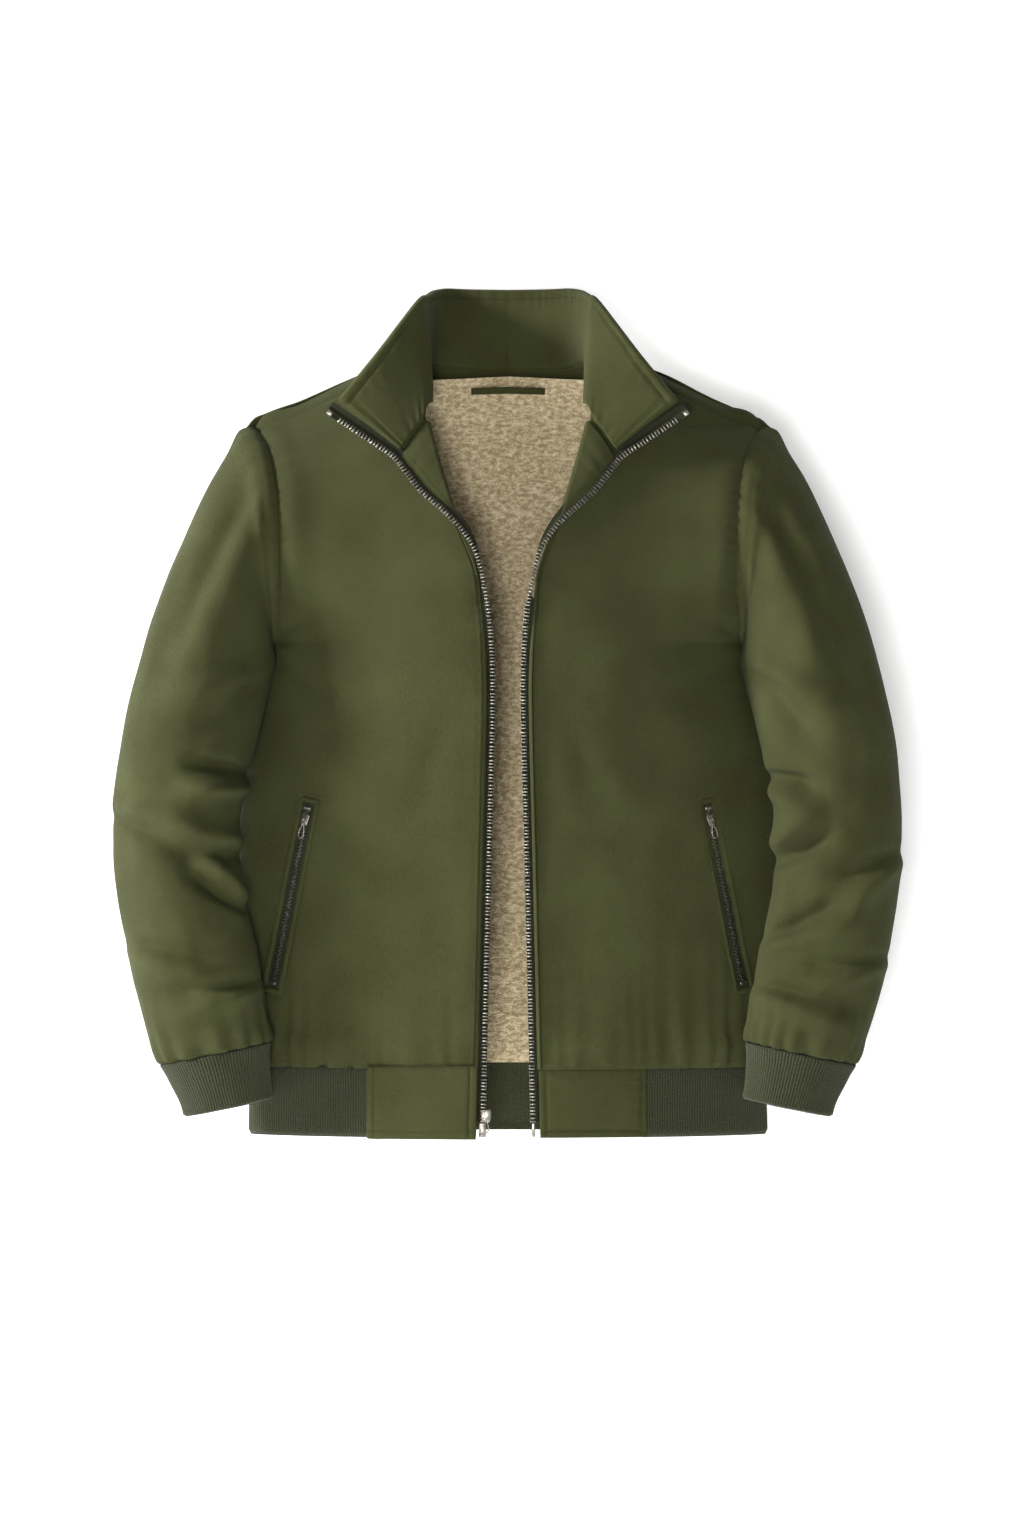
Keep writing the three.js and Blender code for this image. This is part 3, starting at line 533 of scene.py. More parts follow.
@dataclass
class Shader:
    """A material being wired up, with a short way to add a node."""

    name: str
    material: bpy.types.Material = field(init=False)

    def __post_init__(self) -> None:
        """Start the material from an empty tree."""
        self.material = bpy.data.materials.new(self.name)
        self.material.use_nodes = True
        self.tree = self.material.node_tree
        self.tree.nodes.clear()
        self.base = self.add("ShaderNodeBsdfPrincipled")
        self.out = self.add("ShaderNodeOutputMaterial")
        self.link(self.base.outputs[0], self.out.inputs["Surface"])

    def add(self, kind: str, inputs: dict | None = None, **settings: object) -> bpy.types.Node:
        """Add a node; an input is a value or another node's output socket."""
        node = self.tree.nodes.new(kind)
        for key, value in settings.items():
            setattr(node, key, value)
        for key, value in (inputs or {}).items():
            self.feed(node.inputs[key], value)
        return node

    def link(self, source: bpy.types.NodeSocket, target: bpy.types.NodeSocket) -> None:
        """Join two sockets."""
        self.tree.links.new(source, target)

    def feed(self, socket: bpy.types.NodeSocket, value: object) -> None:
        """Set a socket from a value, or link it from an output."""
        if isinstance(value, bpy.types.NodeSocket):
            self.link(value, socket)
        else:
            socket.default_value = value

    def place(self, uv: bool = False) -> bpy.types.NodeSocket:
        """Return coordinates in millimetres, along the cloth or in the object's own space."""
        if uv:
            return self.add("ShaderNodeUVMap", uv_map="cloth").outputs[0]
        where = self.add("ShaderNodeTexCoord").outputs["Object"]
        to_mm = (1 / MM, 1 / MM, 1 / MM)
        return self.add("ShaderNodeVectorMath", {0: where, 1: to_mm}, operation="MULTIPLY").outputs[0]

    def noise(self, at: bpy.types.NodeSocket, size: float, detail: float = 3) -> bpy.types.NodeSocket:
        """Return noise whose blobs are about `size` millimetres."""
        return self.add("ShaderNodeTexNoise", {"Vector": at, "Scale": 1 / size, "Detail": detail}).outputs[0]

    def wave(self, at: bpy.types.NodeSocket, pitch: float, axis: str) -> bpy.types.NodeSocket:
        """Return bands a pitch apart in millimetres, across one axis."""
        scale = math.pi / 10 / pitch
        return self.add("ShaderNodeTexWave", {"Vector": at, "Scale": scale}, bands_direction=axis).outputs[1]

    def blend(self, share: object, low: object, high: object) -> bpy.types.NodeSocket:
        """Return a colour between two, by a share."""
        return self.add("ShaderNodeMix", {0: share, 6: low, 7: high}, data_type="RGBA").outputs[2]

    def spread(self, value: bpy.types.NodeSocket, low: float, high: float,
               to: tuple[float, float] = (0, 1)) -> bpy.types.NodeSocket:
        """Return a value remapped from low..high to another range, clamped."""
        return self.add("ShaderNodeMapRange", {0: value, 1: low, 2: high, 3: to[0], 4: to[1]}).outputs[0]

    def maths(self, kind: str, a: object, b: object) -> bpy.types.NodeSocket:
        """Return a sum, product or the like of two values."""
        return self.add("ShaderNodeMath", {0: a, 1: b}, operation=kind).outputs[0]

    def surface(self, tint: object, roughness: object, height: object = None, relief: float = 0.0,
                **constants: float) -> bpy.types.Material:
        """Feed the shader: colour, roughness, bump of `relief` millimetres, and constant sockets."""
        self.feed(self.base.inputs["Base Color"], tint)
        self.feed(self.base.inputs["Roughness"], roughness)
        for key, value in constants.items():
            self.feed(self.base.inputs[key.replace("_", " ").title().replace("Ior", "IOR")], value)
        if height is not None:
            bump_node = self.add("ShaderNodeBump", {"Height": height, "Distance": relief * MM})
            self.link(bump_node.outputs[0], self.base.inputs["Normal"])
        return self.material


@dataclass(frozen=True)
class WovenCloth:
    """A plain woven cloth: two thread directions, slight slubs and a soft bloom."""

    name: str
    deep: str
    mid: str
    pale: str
    roughness: float = 0.74
    thread: float = 0.55

    def build(self) -> bpy.types.Material:
        """Return the material."""
        s = Shader(self.name)
        at = s.place(uv=True)
        weave = s.maths("MULTIPLY", s.wave(at, self.thread, "X"), s.wave(at, self.thread, "Y"))
        patches = s.spread(s.noise(s.place(), 55, 4), 0.36, 0.66)
        slubs = s.spread(s.noise(at, 2.2, 5), 0.3, 0.72)
        tint = s.blend(patches, colour(self.deep), colour(self.mid))
        tint = s.blend(s.maths("MULTIPLY", slubs, 0.22), tint, colour(self.pale))
        rough = s.spread(slubs, 0, 1, (self.roughness + 0.08, self.roughness - 0.08))
        height = s.maths("ADD", weave, s.maths("MULTIPLY", slubs, 0.8))
        return s.surface(tint, rough, height, 0.16, sheen_weight=0.03, sheen_roughness=0.4,
                         specular_ior_level=0.1)


@dataclass(frozen=True)
class RibKnit:
    """A ribbed knit: soft columns, with the stitches as short V shapes on them."""

    name: str
    groove: str
    crown: str
    pitch: float = 2.3

    def build(self) -> bpy.types.Material:
        """Return the material."""
        s = Shader(self.name)
        at = s.place(uv=True)
        columns = s.wave(at, self.pitch, "X")
        courses = s.wave(at, 1.5, "Y")
        fuzz = s.noise(at, 1.2, 5)
        # Painted shade: the grooves between the rib columns take a much darker colour than the crowns.
        tint = s.blend(s.spread(columns, 0.05, 0.8), colour(self.groove), colour(self.crown))
        tint = s.blend(s.spread(fuzz, 0.45, 0.8, (0, 0.35)), tint, colour("#5c6240"))
        height = s.maths("ADD", s.maths("MULTIPLY", courses, 0.45), fuzz)
        return s.surface(tint, 0.92, height, 0.35, sheen_weight=0.1, sheen_roughness=0.6,
                         specular_ior_level=0.15)


@dataclass(frozen=True)
class PileFleece:
    """A curly pile: pale clumps, with painted shade in the darker roots between them."""

    name: str
    shaded_root: str
    mid: str
    tip: str

    def build(self) -> bpy.types.Material:
        """Return the material."""
        s = Shader(self.name)
        at = s.place()
        flat = s.add("ShaderNodeVectorMath", {0: at, 1: (0.55, 1, 1)}, operation="MULTIPLY").outputs[0]
        clumps = s.noise(flat, 3.0, 4)
        curls = s.noise(flat, 1.1, 6)
        both = s.maths("ADD", s.maths("MULTIPLY", clumps, 0.6), s.maths("MULTIPLY", curls, 0.4))
        depth = s.add("ShaderNodeAttribute", attribute_name="depth").outputs["Fac"]
        # Painted shade: the pile's colour follows its relief, so the low hollows between clumps take the
        # dark root colour.
        tint = s.blend(s.spread(both, 0.4, 0.52), colour(self.shaded_root), colour(self.mid))
        tint = s.blend(s.spread(both, 0.5, 0.64), tint, colour(self.tip))
        # Painted shade: where the stored curl height is low, the colour is pulled further towards the dark
        # root.
        tint = s.blend(s.spread(depth, 0, 0.4, (0.6, 0)), tint, colour(self.shaded_root))
        height = s.maths("ADD", clumps, s.maths("MULTIPLY", curls, 0.7))
        return s.surface(tint, 1.0, height, 2.2, sheen_weight=0.3, sheen_roughness=0.7,
                         specular_ior_level=0.05)


@dataclass(frozen=True)
class ZipMetal:
    """Cast zip metal, brighter where it has been rubbed."""

    name: str
    dark: str
    bright: str
    roughness: float = 0.34

    def build(self) -> bpy.types.Material:
        """Return the material."""
        s = Shader(self.name)
        grain = s.noise(s.place(), 1.6, 4)
        tint = s.blend(s.spread(grain, 0.35, 0.65), colour(self.dark), colour(self.bright))
        rough = s.spread(grain, 0.3, 0.7, (self.roughness + 0.12, self.roughness - 0.06))
        return s.surface(tint, rough, grain, 0.05, metallic=1.0)


@dataclass(frozen=True)
class StagePaper:
    """The plain pale floor and backdrop."""

    name: str
    tint: str
    glow: float = 0.3

    def build(self) -> bpy.types.Material:
        """Return the material."""
        s = Shader(self.name)
        paper = s.surface(colour(self.tint), 0.95, emission_strength=self.glow)
        s.feed(s.base.inputs["Emission Color"], colour("#ffffff"))
        behind = s.add("ShaderNodeNewGeometry").outputs["Backfacing"]
        clear = s.add("ShaderNodeBsdfTransparent").outputs[0]
        both = s.add("ShaderNodeMixShader", {0: behind, 1: s.base.outputs[0], 2: clear})
        s.link(both.outputs[0], s.out.inputs["Surface"])
        return paper


@dataclass
class Wardrobe:
    """Every material, built once."""

    # A dull plain weave: next to no shine, with soft changes of tone.
    shell: bpy.types.Material = field(default_factory=WovenCloth(
        "woven_cotton_shell", "#34361c", "#3b3e22", "#4a4d2d").build)
    # A smoother, closer weave that shines a little more.
    inner: bpy.types.Material = field(default_factory=WovenCloth(
        "woven_sleeve_lining", "#33371f", "#3c4127", "#4c5134", 0.5, 0.4).build)
    # Dark, tightly woven tape with coarse threads.
    tape: bpy.types.Material = field(default_factory=WovenCloth(
        "woven_zip_tape", "#23251a", "#2c2f20", "#3b3e2b", 0.75, 0.7).build)
    # Sewing thread, darker than the shell: its colour is partly the thread's own and partly painted shade of
    # the stitch ditch.
    thread: bpy.types.Material = field(default_factory=WovenCloth(
        "sewing_thread_and_ditch_shade", "#23260f", "#2c3018", "#3b4024", 0.6, 0.3).build)
    # Knitted rib: painted shade in the grooves between matt, fuzzy columns.
    rib: bpy.types.Material = field(default_factory=RibKnit("rib_knit", "#15170d", "#30341f").build)
    # Curly pile: pale matt clumps over roots darkened with painted shade.
    pile: bpy.types.Material = field(default_factory=PileFleece(
        "curly_pile_lining", "#a08c66", "#cab68d", "#e8d9b6").build)
    # Antique nickel: dull, darkened metal with a patchy shine.
    teeth: bpy.types.Material = field(default_factory=ZipMetal(
        "antique_nickel_teeth", "#3a3832", "#8a877d").build)
    # Plainer nickel, paler and a little smoother than the teeth.
    bright: bpy.types.Material = field(default_factory=ZipMetal(
        "nickel_zip_hardware", "#55534b", "#a29e94", 0.3).build)


WARDROBE = Wardrobe()


# ---- Body panels -------------------------------------------------------------------------------------
@dataclass
class ShellCloth:
    """The jacket's outer cloth with its creases and gathers, for both fronts and the back."""

    seed: float = 3.1
    rib_reach: float = 46
    front_creases: tuple[Crease, ...] = (
        Crease((205, -262), (150, -300), 3.0, 11, 1),
        Crease((203, -238), (160, -215), 2.4, 12, -1),
        Crease((60, -330), (96, -420), 1.2, 16, 1),
        Crease((214, -335), (196, -420), 1.6, 12, -1),
    )

    def gather(self, x: float, z: float, shift: float) -> float:
        """Return the ripple of the cloth where it is drawn into the hem rib."""
        above = z - FORM.rib_top_z
        fade = math.exp(-max(above, 0) / self.rib_reach)
        near = smooth(abs(x), 95, 175)
        gathers = pucker(x, self.seed + shift, 17) * fade * (1.0 + 3.2 * near)
        return gathers + 4.2 * bump(above, 17, 13) * (0.5 + 0.5 * near)

    def pocket_dent(self, x: float, z: float) -> float:
        """Return how far the cloth dips into the pocket's opening."""
        lean = FORM.pocket_lean
        dx, dz = x - FORM.pocket_top[0], z - FORM.pocket_top[1]
        down = dx * math.sin(lean) - dz * math.cos(lean)
        off = dx * math.cos(lean) + dz * math.sin(lean)
        inside = smooth(down, -6, 2) * (1 - smooth(down, FORM.pocket_length - 2, FORM.pocket_length + 6))
        ripple = 0.7 * math.sin(down / 19) * bump(abs(off), 16, 9)
        return inside * (ripple - 2.6 * (1 - smooth(abs(off), 4.5, 7.0)))

    def front_lift(self, x: float, z: float) -> float:
        """Return how far a front panel stands out at (x, z), x measured from the centre line."""
        lift = 3.6 * cloth_swell(x, z, self.seed) + sum(c.lift(x, z) for c in self.front_creases)
        lift += self.gather(x, z, 0) + self.pocket_dent(x, z)
        near_edge = 1 - smooth(x - FORM.zip_x(z), 4, 30)
        lift = lerp(lift, 0.5 * pucker(z, 9.0, 17), near_edge * (1 if z < FORM.fold_z else 0.4))
        lift -= 1.0 * bump(x - FORM.zip_x(z), 11.5, 1.4) * (1 - smooth(z, FORM.fold_z - 10, FORM.fold_z))
        seam_x = FORM.side_half(z)
        armhole = smooth(z, FORM.underarm_z - 25, FORM.underarm_z + 10)
        sunk = smooth(z, FORM.underarm_z + 5, FORM.underarm_z + 50)
        lift += armhole * 1.3 * bump(seam_x - x, 24, 10) - 3.2 * sunk * bump(seam_x - x, 0, 12)
        top = FORM.shoulder_top(x) - z
        lift -= 1.4 * bump(top, 9, 2.2) * smooth(x, 78, 90)
        return lift + 0.5 * pucker(z, 21.0, 11) * bump(seam_x - x, 12, 10)

    def back_lift(self, x: float, z: float) -> float:
        """Return how far the back stands out at (x, z)."""
        lift = 2.8 * cloth_swell(x, z, self.seed + 11) + self.gather(x, z, 5)
        away = abs(x)
        armhole = smooth(z, FORM.underarm_z - 25, FORM.underarm_z + 10)
        seam_x = FORM.side_half(z)
        return lift + armhole * 1.3 * bump(seam_x - away, 10, 6)

    def front(self, side: Side, x: float, z: float, out: float = 0.0) -> Vector:
        """Return a point of a front panel, `out` millimetres proud of the cloth."""
        return side.mirror(FORM.body_point(x, z, -(self.front_lift(x, z) + out), -1))


SHELL = ShellCloth()


def row_share(v: float) -> float:
    """Return v with the rows closer together towards the shoulders."""
    return 1 - (1 - v) ** 1.6


def patch(bottom: Callable, top: Callable, inner: Callable, outer: Callable) -> Callable:
    """Return the Coons patch between four edges, each giving (x, z) for 0 to 1."""
    def place(u: float, v: float) -> tuple[float, float]:
        """Return the patch's (x, z) at (u, v)."""
        lows, highs, ins, outs = bottom(u), top(u), inner(v), outer(v)
        pairs = []
        for k in (0, 1):
            across = lerp(ins[k], outs[k], u)
            along = lerp(lows[k], highs[k], v)
            corners = lerp(lerp(bottom(0)[k], bottom(1)[k], u), lerp(top(0)[k], top(1)[k], u), v)
            pairs.append(across + along - corners)
        return pairs[0], pairs[1]

    return place


@dataclass
class BodyPanels:
    """The two front panels, the back panel, and the pile lining behind them."""

    front_bottom: float = FORM.rib_top_z + 0.3
    neck_share: float = 0.86
    lining_inset: float = 5.9
    lining_wall: float = 4.6

    def side_edge(self, v: float) -> tuple[float, float]:
        """Return the side seam."""
        z = lerp(self.front_bottom, FORM.shoulder_z, v)
        return FORM.side_half(z), z

    def front_inner(self, v: float) -> tuple[float, float]:
        """Return the front edge, the roll line and the neck seam in turn."""
        share = min(v / self.neck_share, 1)
        x, z = FORM.edge_at(share, FORM.lapel_roll)
        x += FORM.fold_shift(share) + 0.9
        if v <= self.neck_share:
            return x, z
        t = (v - self.neck_share) / (1 - self.neck_share)
        return lerp(x, FORM.neck_side[0], t), lerp(z, FORM.neck_side[1], t)

    def front_place(self) -> Callable:
        """Return the front panel's (x, z) for (u, v)."""
        start = self.front_inner(0)[0]

        def top(u: float) -> tuple[float, float]:
            """Return the panel's top edge."""
            x = lerp(FORM.neck_side[0], FORM.shoulder_half, u)
            return x, (FORM.shoulder_top(x) if u else FORM.neck_side[1])

        def bottom(u: float) -> tuple[float, float]:
            """Return the panel's bottom edge."""
            return lerp(start, FORM.hem_half, u), self.front_bottom

        return patch(bottom, top, self.front_inner, self.side_edge)

    def back_place(self) -> Callable:
        """Return the back panel's (x, z) for (u, v)."""
        def top(u: float) -> tuple[float, float]:
            """Return the panel's top edge."""
            x = FORM.shoulder_half * (2 * u - 1)
            away = abs(x)
            return x, (FORM.back_neck_line(away) if away < FORM.neck_side[0] else FORM.shoulder_top(away))

        def bottom(u: float) -> tuple[float, float]:
            """Return the panel's bottom edge."""
            return FORM.hem_half * (2 * u - 1), self.front_bottom

        def other_side(v: float) -> tuple[float, float]:
            """Return the mirrored side edge."""
            x, z = self.side_edge(v)
            return -x, z

        return patch(bottom, top, other_side, self.side_edge)

    def fleece(self, name: str, place: Callable, side: int, columns: int, rows: int, inset: float,
               sign: int = 1, start: float = 0.0, wall: float = 2.2) -> bpy.types.Object:
        """Make one lining panel, its pile raised in clumps.

        Args:
            name: The piece's name.
            place: (x, z) for (u, v).
            side: -1 on the front and 1 on the back.
            columns: Cells across.
            rows: Cells along.
            inset: How far behind the shell's face it lies.
            sign: -1 to mirror it.
            start: The first u.
            wall: The knit backing's thickness.

        Returns:
            The lining.
        """
        curls: list[float] = []

        def surface(u: float, v: float) -> Vector:
            """Return the lining's point, set in behind the shell."""
            first = start + (0.17 * smooth(v, 0.8, 0.95) if start else 0)
            x, z = place(lerp(first, 1, u), row_share(v))
            base = FORM.body_point(x, z, inset + self.lining_wall, side)
            where = Vector((x, z, side * 40))
            bent = Vector((x / 10 + noise.noise(where / 25), z / 5.5, side * 3.0))
            big = noise.noise(bent)
            small = noise.noise(Vector((x / 6, z / 4, 9.0)))
            curl = 0.65 * abs(big) + 0.5 * abs(small)
            curls.append(curl)
            inward = Vector((0, -side, 0))
            rim = smooth(min(v, 1 - v), 0, 0.012) * smooth(min(u, 1 - u), 0, 0.02)
            point = base + inward * (3.4 * curl - 0.4) * rim
            return Vector((sign * point.x, point.y, point.z))

        bm = cloth_grid(columns, rows, surface, (columns * 3.4, rows * 3.4))
        # The curl height is kept for the pile material, which uses it to paint shade into the low hollows.
        attribute = bm.verts.layers.float.new("depth")
        for vert, curl in zip(bm.verts, curls):
            vert[attribute] = min(curl * 2.2, 1)
        bm.normal_update()
        if sum(face.normal.y for face in bm.faces) * side > 0:
            bmesh.ops.reverse_faces(bm, faces=bm.faces[:])
        return make_piece(name, bm, WARDROBE.pile, wall=wall)

    def build(self) -> None:
        """Make the panels."""
        front_place, back_place = self.front_place(), self.back_place()
        for side in Side:
            def front(u: float, v: float, side: Side = side) -> Vector:
                """Return the front panel's cloth at (u, v)."""
                x, z = front_place(u, row_share(v))
                return SHELL.front(side, x, z)

            bm = cloth_grid(76, 190, front, (200, 600))
            face_towards(bm, Vector((0, 0, -300)))
            name = f"{side.word}_front_cloth"
            panel = make_piece(name, bm, WARDROBE.shell, wall=1.6)
            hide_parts(f"{side.word}_front_panel")
            lining = self.fleece(f"{side.word}_front_pile", front_place, -1, 44, 150, self.lining_inset,
                                 side.value, 1 / 3)
            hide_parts(f"{side.word}_front_lining")

        def back(u: float, v: float) -> Vector:
            """Return the back panel's cloth at (u, v)."""
            x, z = back_place(u, row_share(v))
            return FORM.body_point(x, z, -SHELL.back_lift(x, z), 1)

        bm = cloth_grid(130, 170, back, (470, 620))
        face_towards(bm, Vector((0, 0, -300)))
        panel = make_piece("back_cloth", bm, WARDROBE.shell, wall=1.6)
        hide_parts("back_panel")
        lining = self.fleece("back_pile", back_place, 1, 190, 250, self.lining_inset + 0.6, wall=0)
        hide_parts("lining_back")


# ---- Sleeves -----------------------------------------------------------------------------------------
@dataclass
class Sleeve:
    """One sleeve: its cloth, its lining and its cuff."""

    side: Side

    def __post_init__(self) -> None:
        """Lay out the sleeve's two edges as they hang."""
        elbow = FORM.shoulder_half + FORM.sleeve_reach
        self.outer = flat_route([
            (FORM.shoulder_half, FORM.shoulder_z), (262, -105), (290, -168), (313, -232), (331, -300),
            (elbow - 2, -362), (elbow, -412), (elbow - 4, -465), (328, -530), (315, -580), (303, -614),
        ])
        self.inner = flat_route([
            (FORM.chest_half, FORM.underarm_z), (203, -262), (207, -284), (215, -319), (224, -360),
            (231, -392), (231, -425), (228, -468), (217, -520), (210, -565), (206, -594),
        ])
        self.forward = Profile((0, 0), (0.1, -6), (0.2, -14), (0.3, -26), (0.4, -36), (0.5, -42), (1, -42))
        self.half_depth = Profile(
            (0, FORM.armhole_half_depth), (0.2, 51), (0.4, 46), (0.6, 41), (0.85, 37), (1, 30),
        )
        self.bend_way = Vector((0.985, 0, -0.17))
        self.seed = 30.0 + self.side.value
        left = (
            Crease((205, -452), (268, -415), 5.0, 7.5, -1), Crease((212, -362), (262, -372), 4.6, 7, 1),
            Crease((230, -500), (290, -470), 3.0, 9, 1), Crease((335, -430), (282, -452), 2.6, 10, -1),
            Crease((240, -150), (300, -260), 2.4, 15, 1), Crease((215, -275), (262, -330), 2.8, 12, -1),
            Crease((225, -545), (300, -560), 2.4, 9, 1), Crease((322, -520), (262, -528), 2.0, 8, -1),
        )
        right = (
            Crease((212, -364), (270, -354), 5.0, 7.5, 1), Crease((216, -432), (290, -430), 3.8, 9, -1),
            Crease((228, -478), (272, -446), 4.2, 7, -1), Crease((338, -400), (282, -420), 2.4, 10, 1),
            Crease((238, -140), (306, -268), 2.2, 15, 1), Crease((213, -280), (266, -322), 2.6, 12, -1),
            Crease((222, -540), (300, -552), 2.4, 9, 1), Crease((320, -508), (250, -520), 2.2, 9, -1),
        )
        self.creases = left if self.side is Side.LEFT else right

    def axis_length(self) -> float:
        """Return the length of the sleeve down its middle."""
        points = [(self.outer(i / 40) + self.inner(i / 40)) / 2 for i in range(41)]
        return sum((b - a).length for a, b in zip(points, points[1:]))

    def lift(self, x: float, z: float, turn: float, t: float) -> float:
        """Return how far the cloth stands out."""
        face = 2.9 * clamp(0.35 - 0.9 * math.sin(turn))
        lift = face * sum(crease.lift(x, z) for crease in self.creases)
        lift += 2.6 * noise.noise(Vector((math.cos(turn) * 1.3, math.sin(turn) * 1.3 + self.seed, t * 5)))
        lift += 1.1 * noise.noise(Vector((math.cos(turn) * 3, math.sin(turn) * 3 + self.seed, t * 14)))
        around = turn * 46
        to_cuff = (1 - t) * 560
        lift += (3.6 * pucker(around, self.seed, 19) + 2.6 * bump(to_cuff, 22, 16)) * math.exp(-to_cuff / 34)
        lift *= smooth(t, 0.0, 0.03)
        ease = math.exp(-((t * 560 - 9) / 12) ** 2)
        lift += 3.4 * ease + 0.7 * pucker(around, self.seed + 3, 12) * ease
        return lift - 2.2 * math.exp(-to_cuff / 2.2)

    def surface(self, turn: float, t: float, inset: float) -> Vector:
        """Return a point of the sleeve, `inset` behind its smooth face, without creases."""
        outer, inner = self.outer(t), self.inner(t)
        middle, half = (outer + inner) / 2, (outer - inner) / 2
        point = middle + half * (math.cos(turn) * (1 - inset / half.length))
        start_z = FORM.armhole_middle + FORM.armhole_depth / 2 * math.cos(turn)
        part = (start_z - FORM.shoulder_z) / (FORM.underarm_z - FORM.shoulder_z)
        chord = lerp(FORM.shoulder_half, FORM.chest_half, part)
        bow = (FORM.side_half(start_z) - chord) * max(0.0, 1 - 5 * t) ** 2
        round_y = (self.half_depth(t) - inset) * math.sin(turn)
        seam_share = 1 - inset / FORM.armhole_half_depth
        seam_y = math.copysign(FORM.armhole_y(start_z), math.sin(turn)) * seam_share
        y = self.forward(t) + lerp(seam_y, round_y, smooth(t, 0, 0.2))
        return Vector((point.x + bow + FORM.armhole_gap, y, point.z))

    def cloth_point(self, turn: float, t: float, out: float = 0.0) -> Vector:
        """Return a point of the creased cloth, `out` proud of it."""
        flat = self.surface(turn, t, 0)
        lift = self.lift(flat.x, flat.z, turn, t) + out
        point = self.surface(turn, t, -lift)
        point.x -= 9.0 * math.exp(-((t * 560 / 2.6) ** 2))
        return self.side.mirror(point)

    def tube(self, columns: int, rows: int, place: Callable[[float, float], Vector],
             size: tuple[float, float]) -> bmesh.types.BMesh:
        """Return a closed tube of cloth; place takes the turn and the share along it."""
        def wrapped(u: float, v: float) -> Vector:
            """Return the tube's point, starting at the same turn each time."""
            return place(2 * math.pi * u - math.pi / 2 * 3, v)

        bm = cloth_grid(columns, rows, wrapped, size)
        bmesh.ops.remove_doubles(bm, verts=bm.verts[:], dist=2e-5)
        return bm

    def build(self) -> None:
        """Make the pieces."""
        word, body = self.side.word, f"{self.side.word}_sleeve_body"
        length = self.axis_length()
        seam_middle = Vector(((FORM.shoulder_half + FORM.chest_half) / 2, 0, FORM.armhole_middle))
        bend_from = self.side.mirror(seam_middle + self.bend_way * 3.7) * MM
        bend_to = self.side.mirror(seam_middle + self.bend_way * 58) * MM
        bm = self.tube(112, 176, self.cloth_point, (330, length))
        bmesh.ops.recalc_face_normals(bm, faces=bm.faces[:])
        self.open_outwards(bm)
        cloth = make_piece(f"{word}_sleeve_cloth", bm, WARDROBE.shell, body="", wall=1.6)
        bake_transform(cloth)
        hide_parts(f"{word}_sleeve")

        def inside(turn: float, v: float) -> Vector:
            """Return the sleeve lining's point, in behind the sunk cloth."""
            t = lerp(0.012, 0.995, v)
            ripple = 0.8 * pucker(turn * 40, self.seed + 9, 20)
            outside = self.surface(turn, t, 0)
            sunk = min(self.lift(outside.x, outside.z, turn, t), 0)
            return self.side.mirror(self.surface(turn, t, 6.4 + ripple - sunk))

        bm = self.tube(72, 90, inside, (280, length))
        bmesh.ops.recalc_face_normals(bm, faces=bm.faces[:])
        self.open_outwards(bm)
        lining = make_piece(f"{word}_sleeve_inner", bm, WARDROBE.inner, body="", wall=0.5)
        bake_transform(lining)
        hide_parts(f"{word}_sleeve_lining")
        self.build_cuff(word, body)

    @staticmethod
    def open_outwards(bm: bmesh.types.BMesh) -> None:
        """Make a tube's faces look away from its axis."""
        centre = sum((v.co for v in bm.verts), Vector()) / len(bm.verts)
        middle = [f for f in bm.faces if abs(f.calc_center_median().z - centre.z) < 0.02]
        hub = sum((f.calc_center_median() for f in middle), Vector()) / len(middle)
        if sum((f.calc_center_median() - hub).dot(f.normal) for f in middle) < 0:
            bmesh.ops.reverse_faces(bm, faces=bm.faces[:])

    def build_cuff(self, word: str, body: str) -> None:
        """Make the ribbed cuff, folded double."""
        outer, inner = self.outer(1), self.inner(1)
        across = (outer - inner).normalized()
        down = Vector((-12, 0, -FORM.cuff_height))
        middle = (outer + inner) / 2 + Vector((across.z, 0, -across.x)) * 0.6
        half_width = (outer - inner).length / 2 - 2.7
        half_depth = self.half_depth(1) - 2.7
        ribs = 102

        def knit(turn: float, v: float) -> Vector:
            """Return the cuff's ribbed point."""
            spread = lerp(1, 0.86, smooth(v, 0, 0.9)) + 0.05 * bump(v, 0, 0.14)
            fold = 2.0 * (1 - math.sqrt(max(0.0, 1 - clamp((v - 0.95) / 0.05) ** 2)))
            depth = -0.6 * (1 - abs(math.cos(turn * ribs / 2)) ** 0.7) - fold
            point = middle + down * v + across * ((half_width * spread + depth) * math.cos(turn))
            y = self.forward(1) + (half_depth * spread + depth) * math.sin(turn)
            sway = 0.6 * noise.noise(Vector((math.cos(turn) * 2, math.sin(turn) * 2, v * 2)))
            return self.side.mirror(Vector((point.x + FORM.armhole_gap + sway, y + sway, point.z)))

        bm = self.tube(ribs * 6, 24, knit, (ribs * 2.3, FORM.cuff_height))
        bmesh.ops.recalc_face_normals(bm, faces=bm.faces[:])
        self.open_outwards(bm)
        cuff = make_piece(f"{word}_cuff_knit", bm, WARDROBE.rib, body=body, wall=1.0)
        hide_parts(f"{word}_cuff")


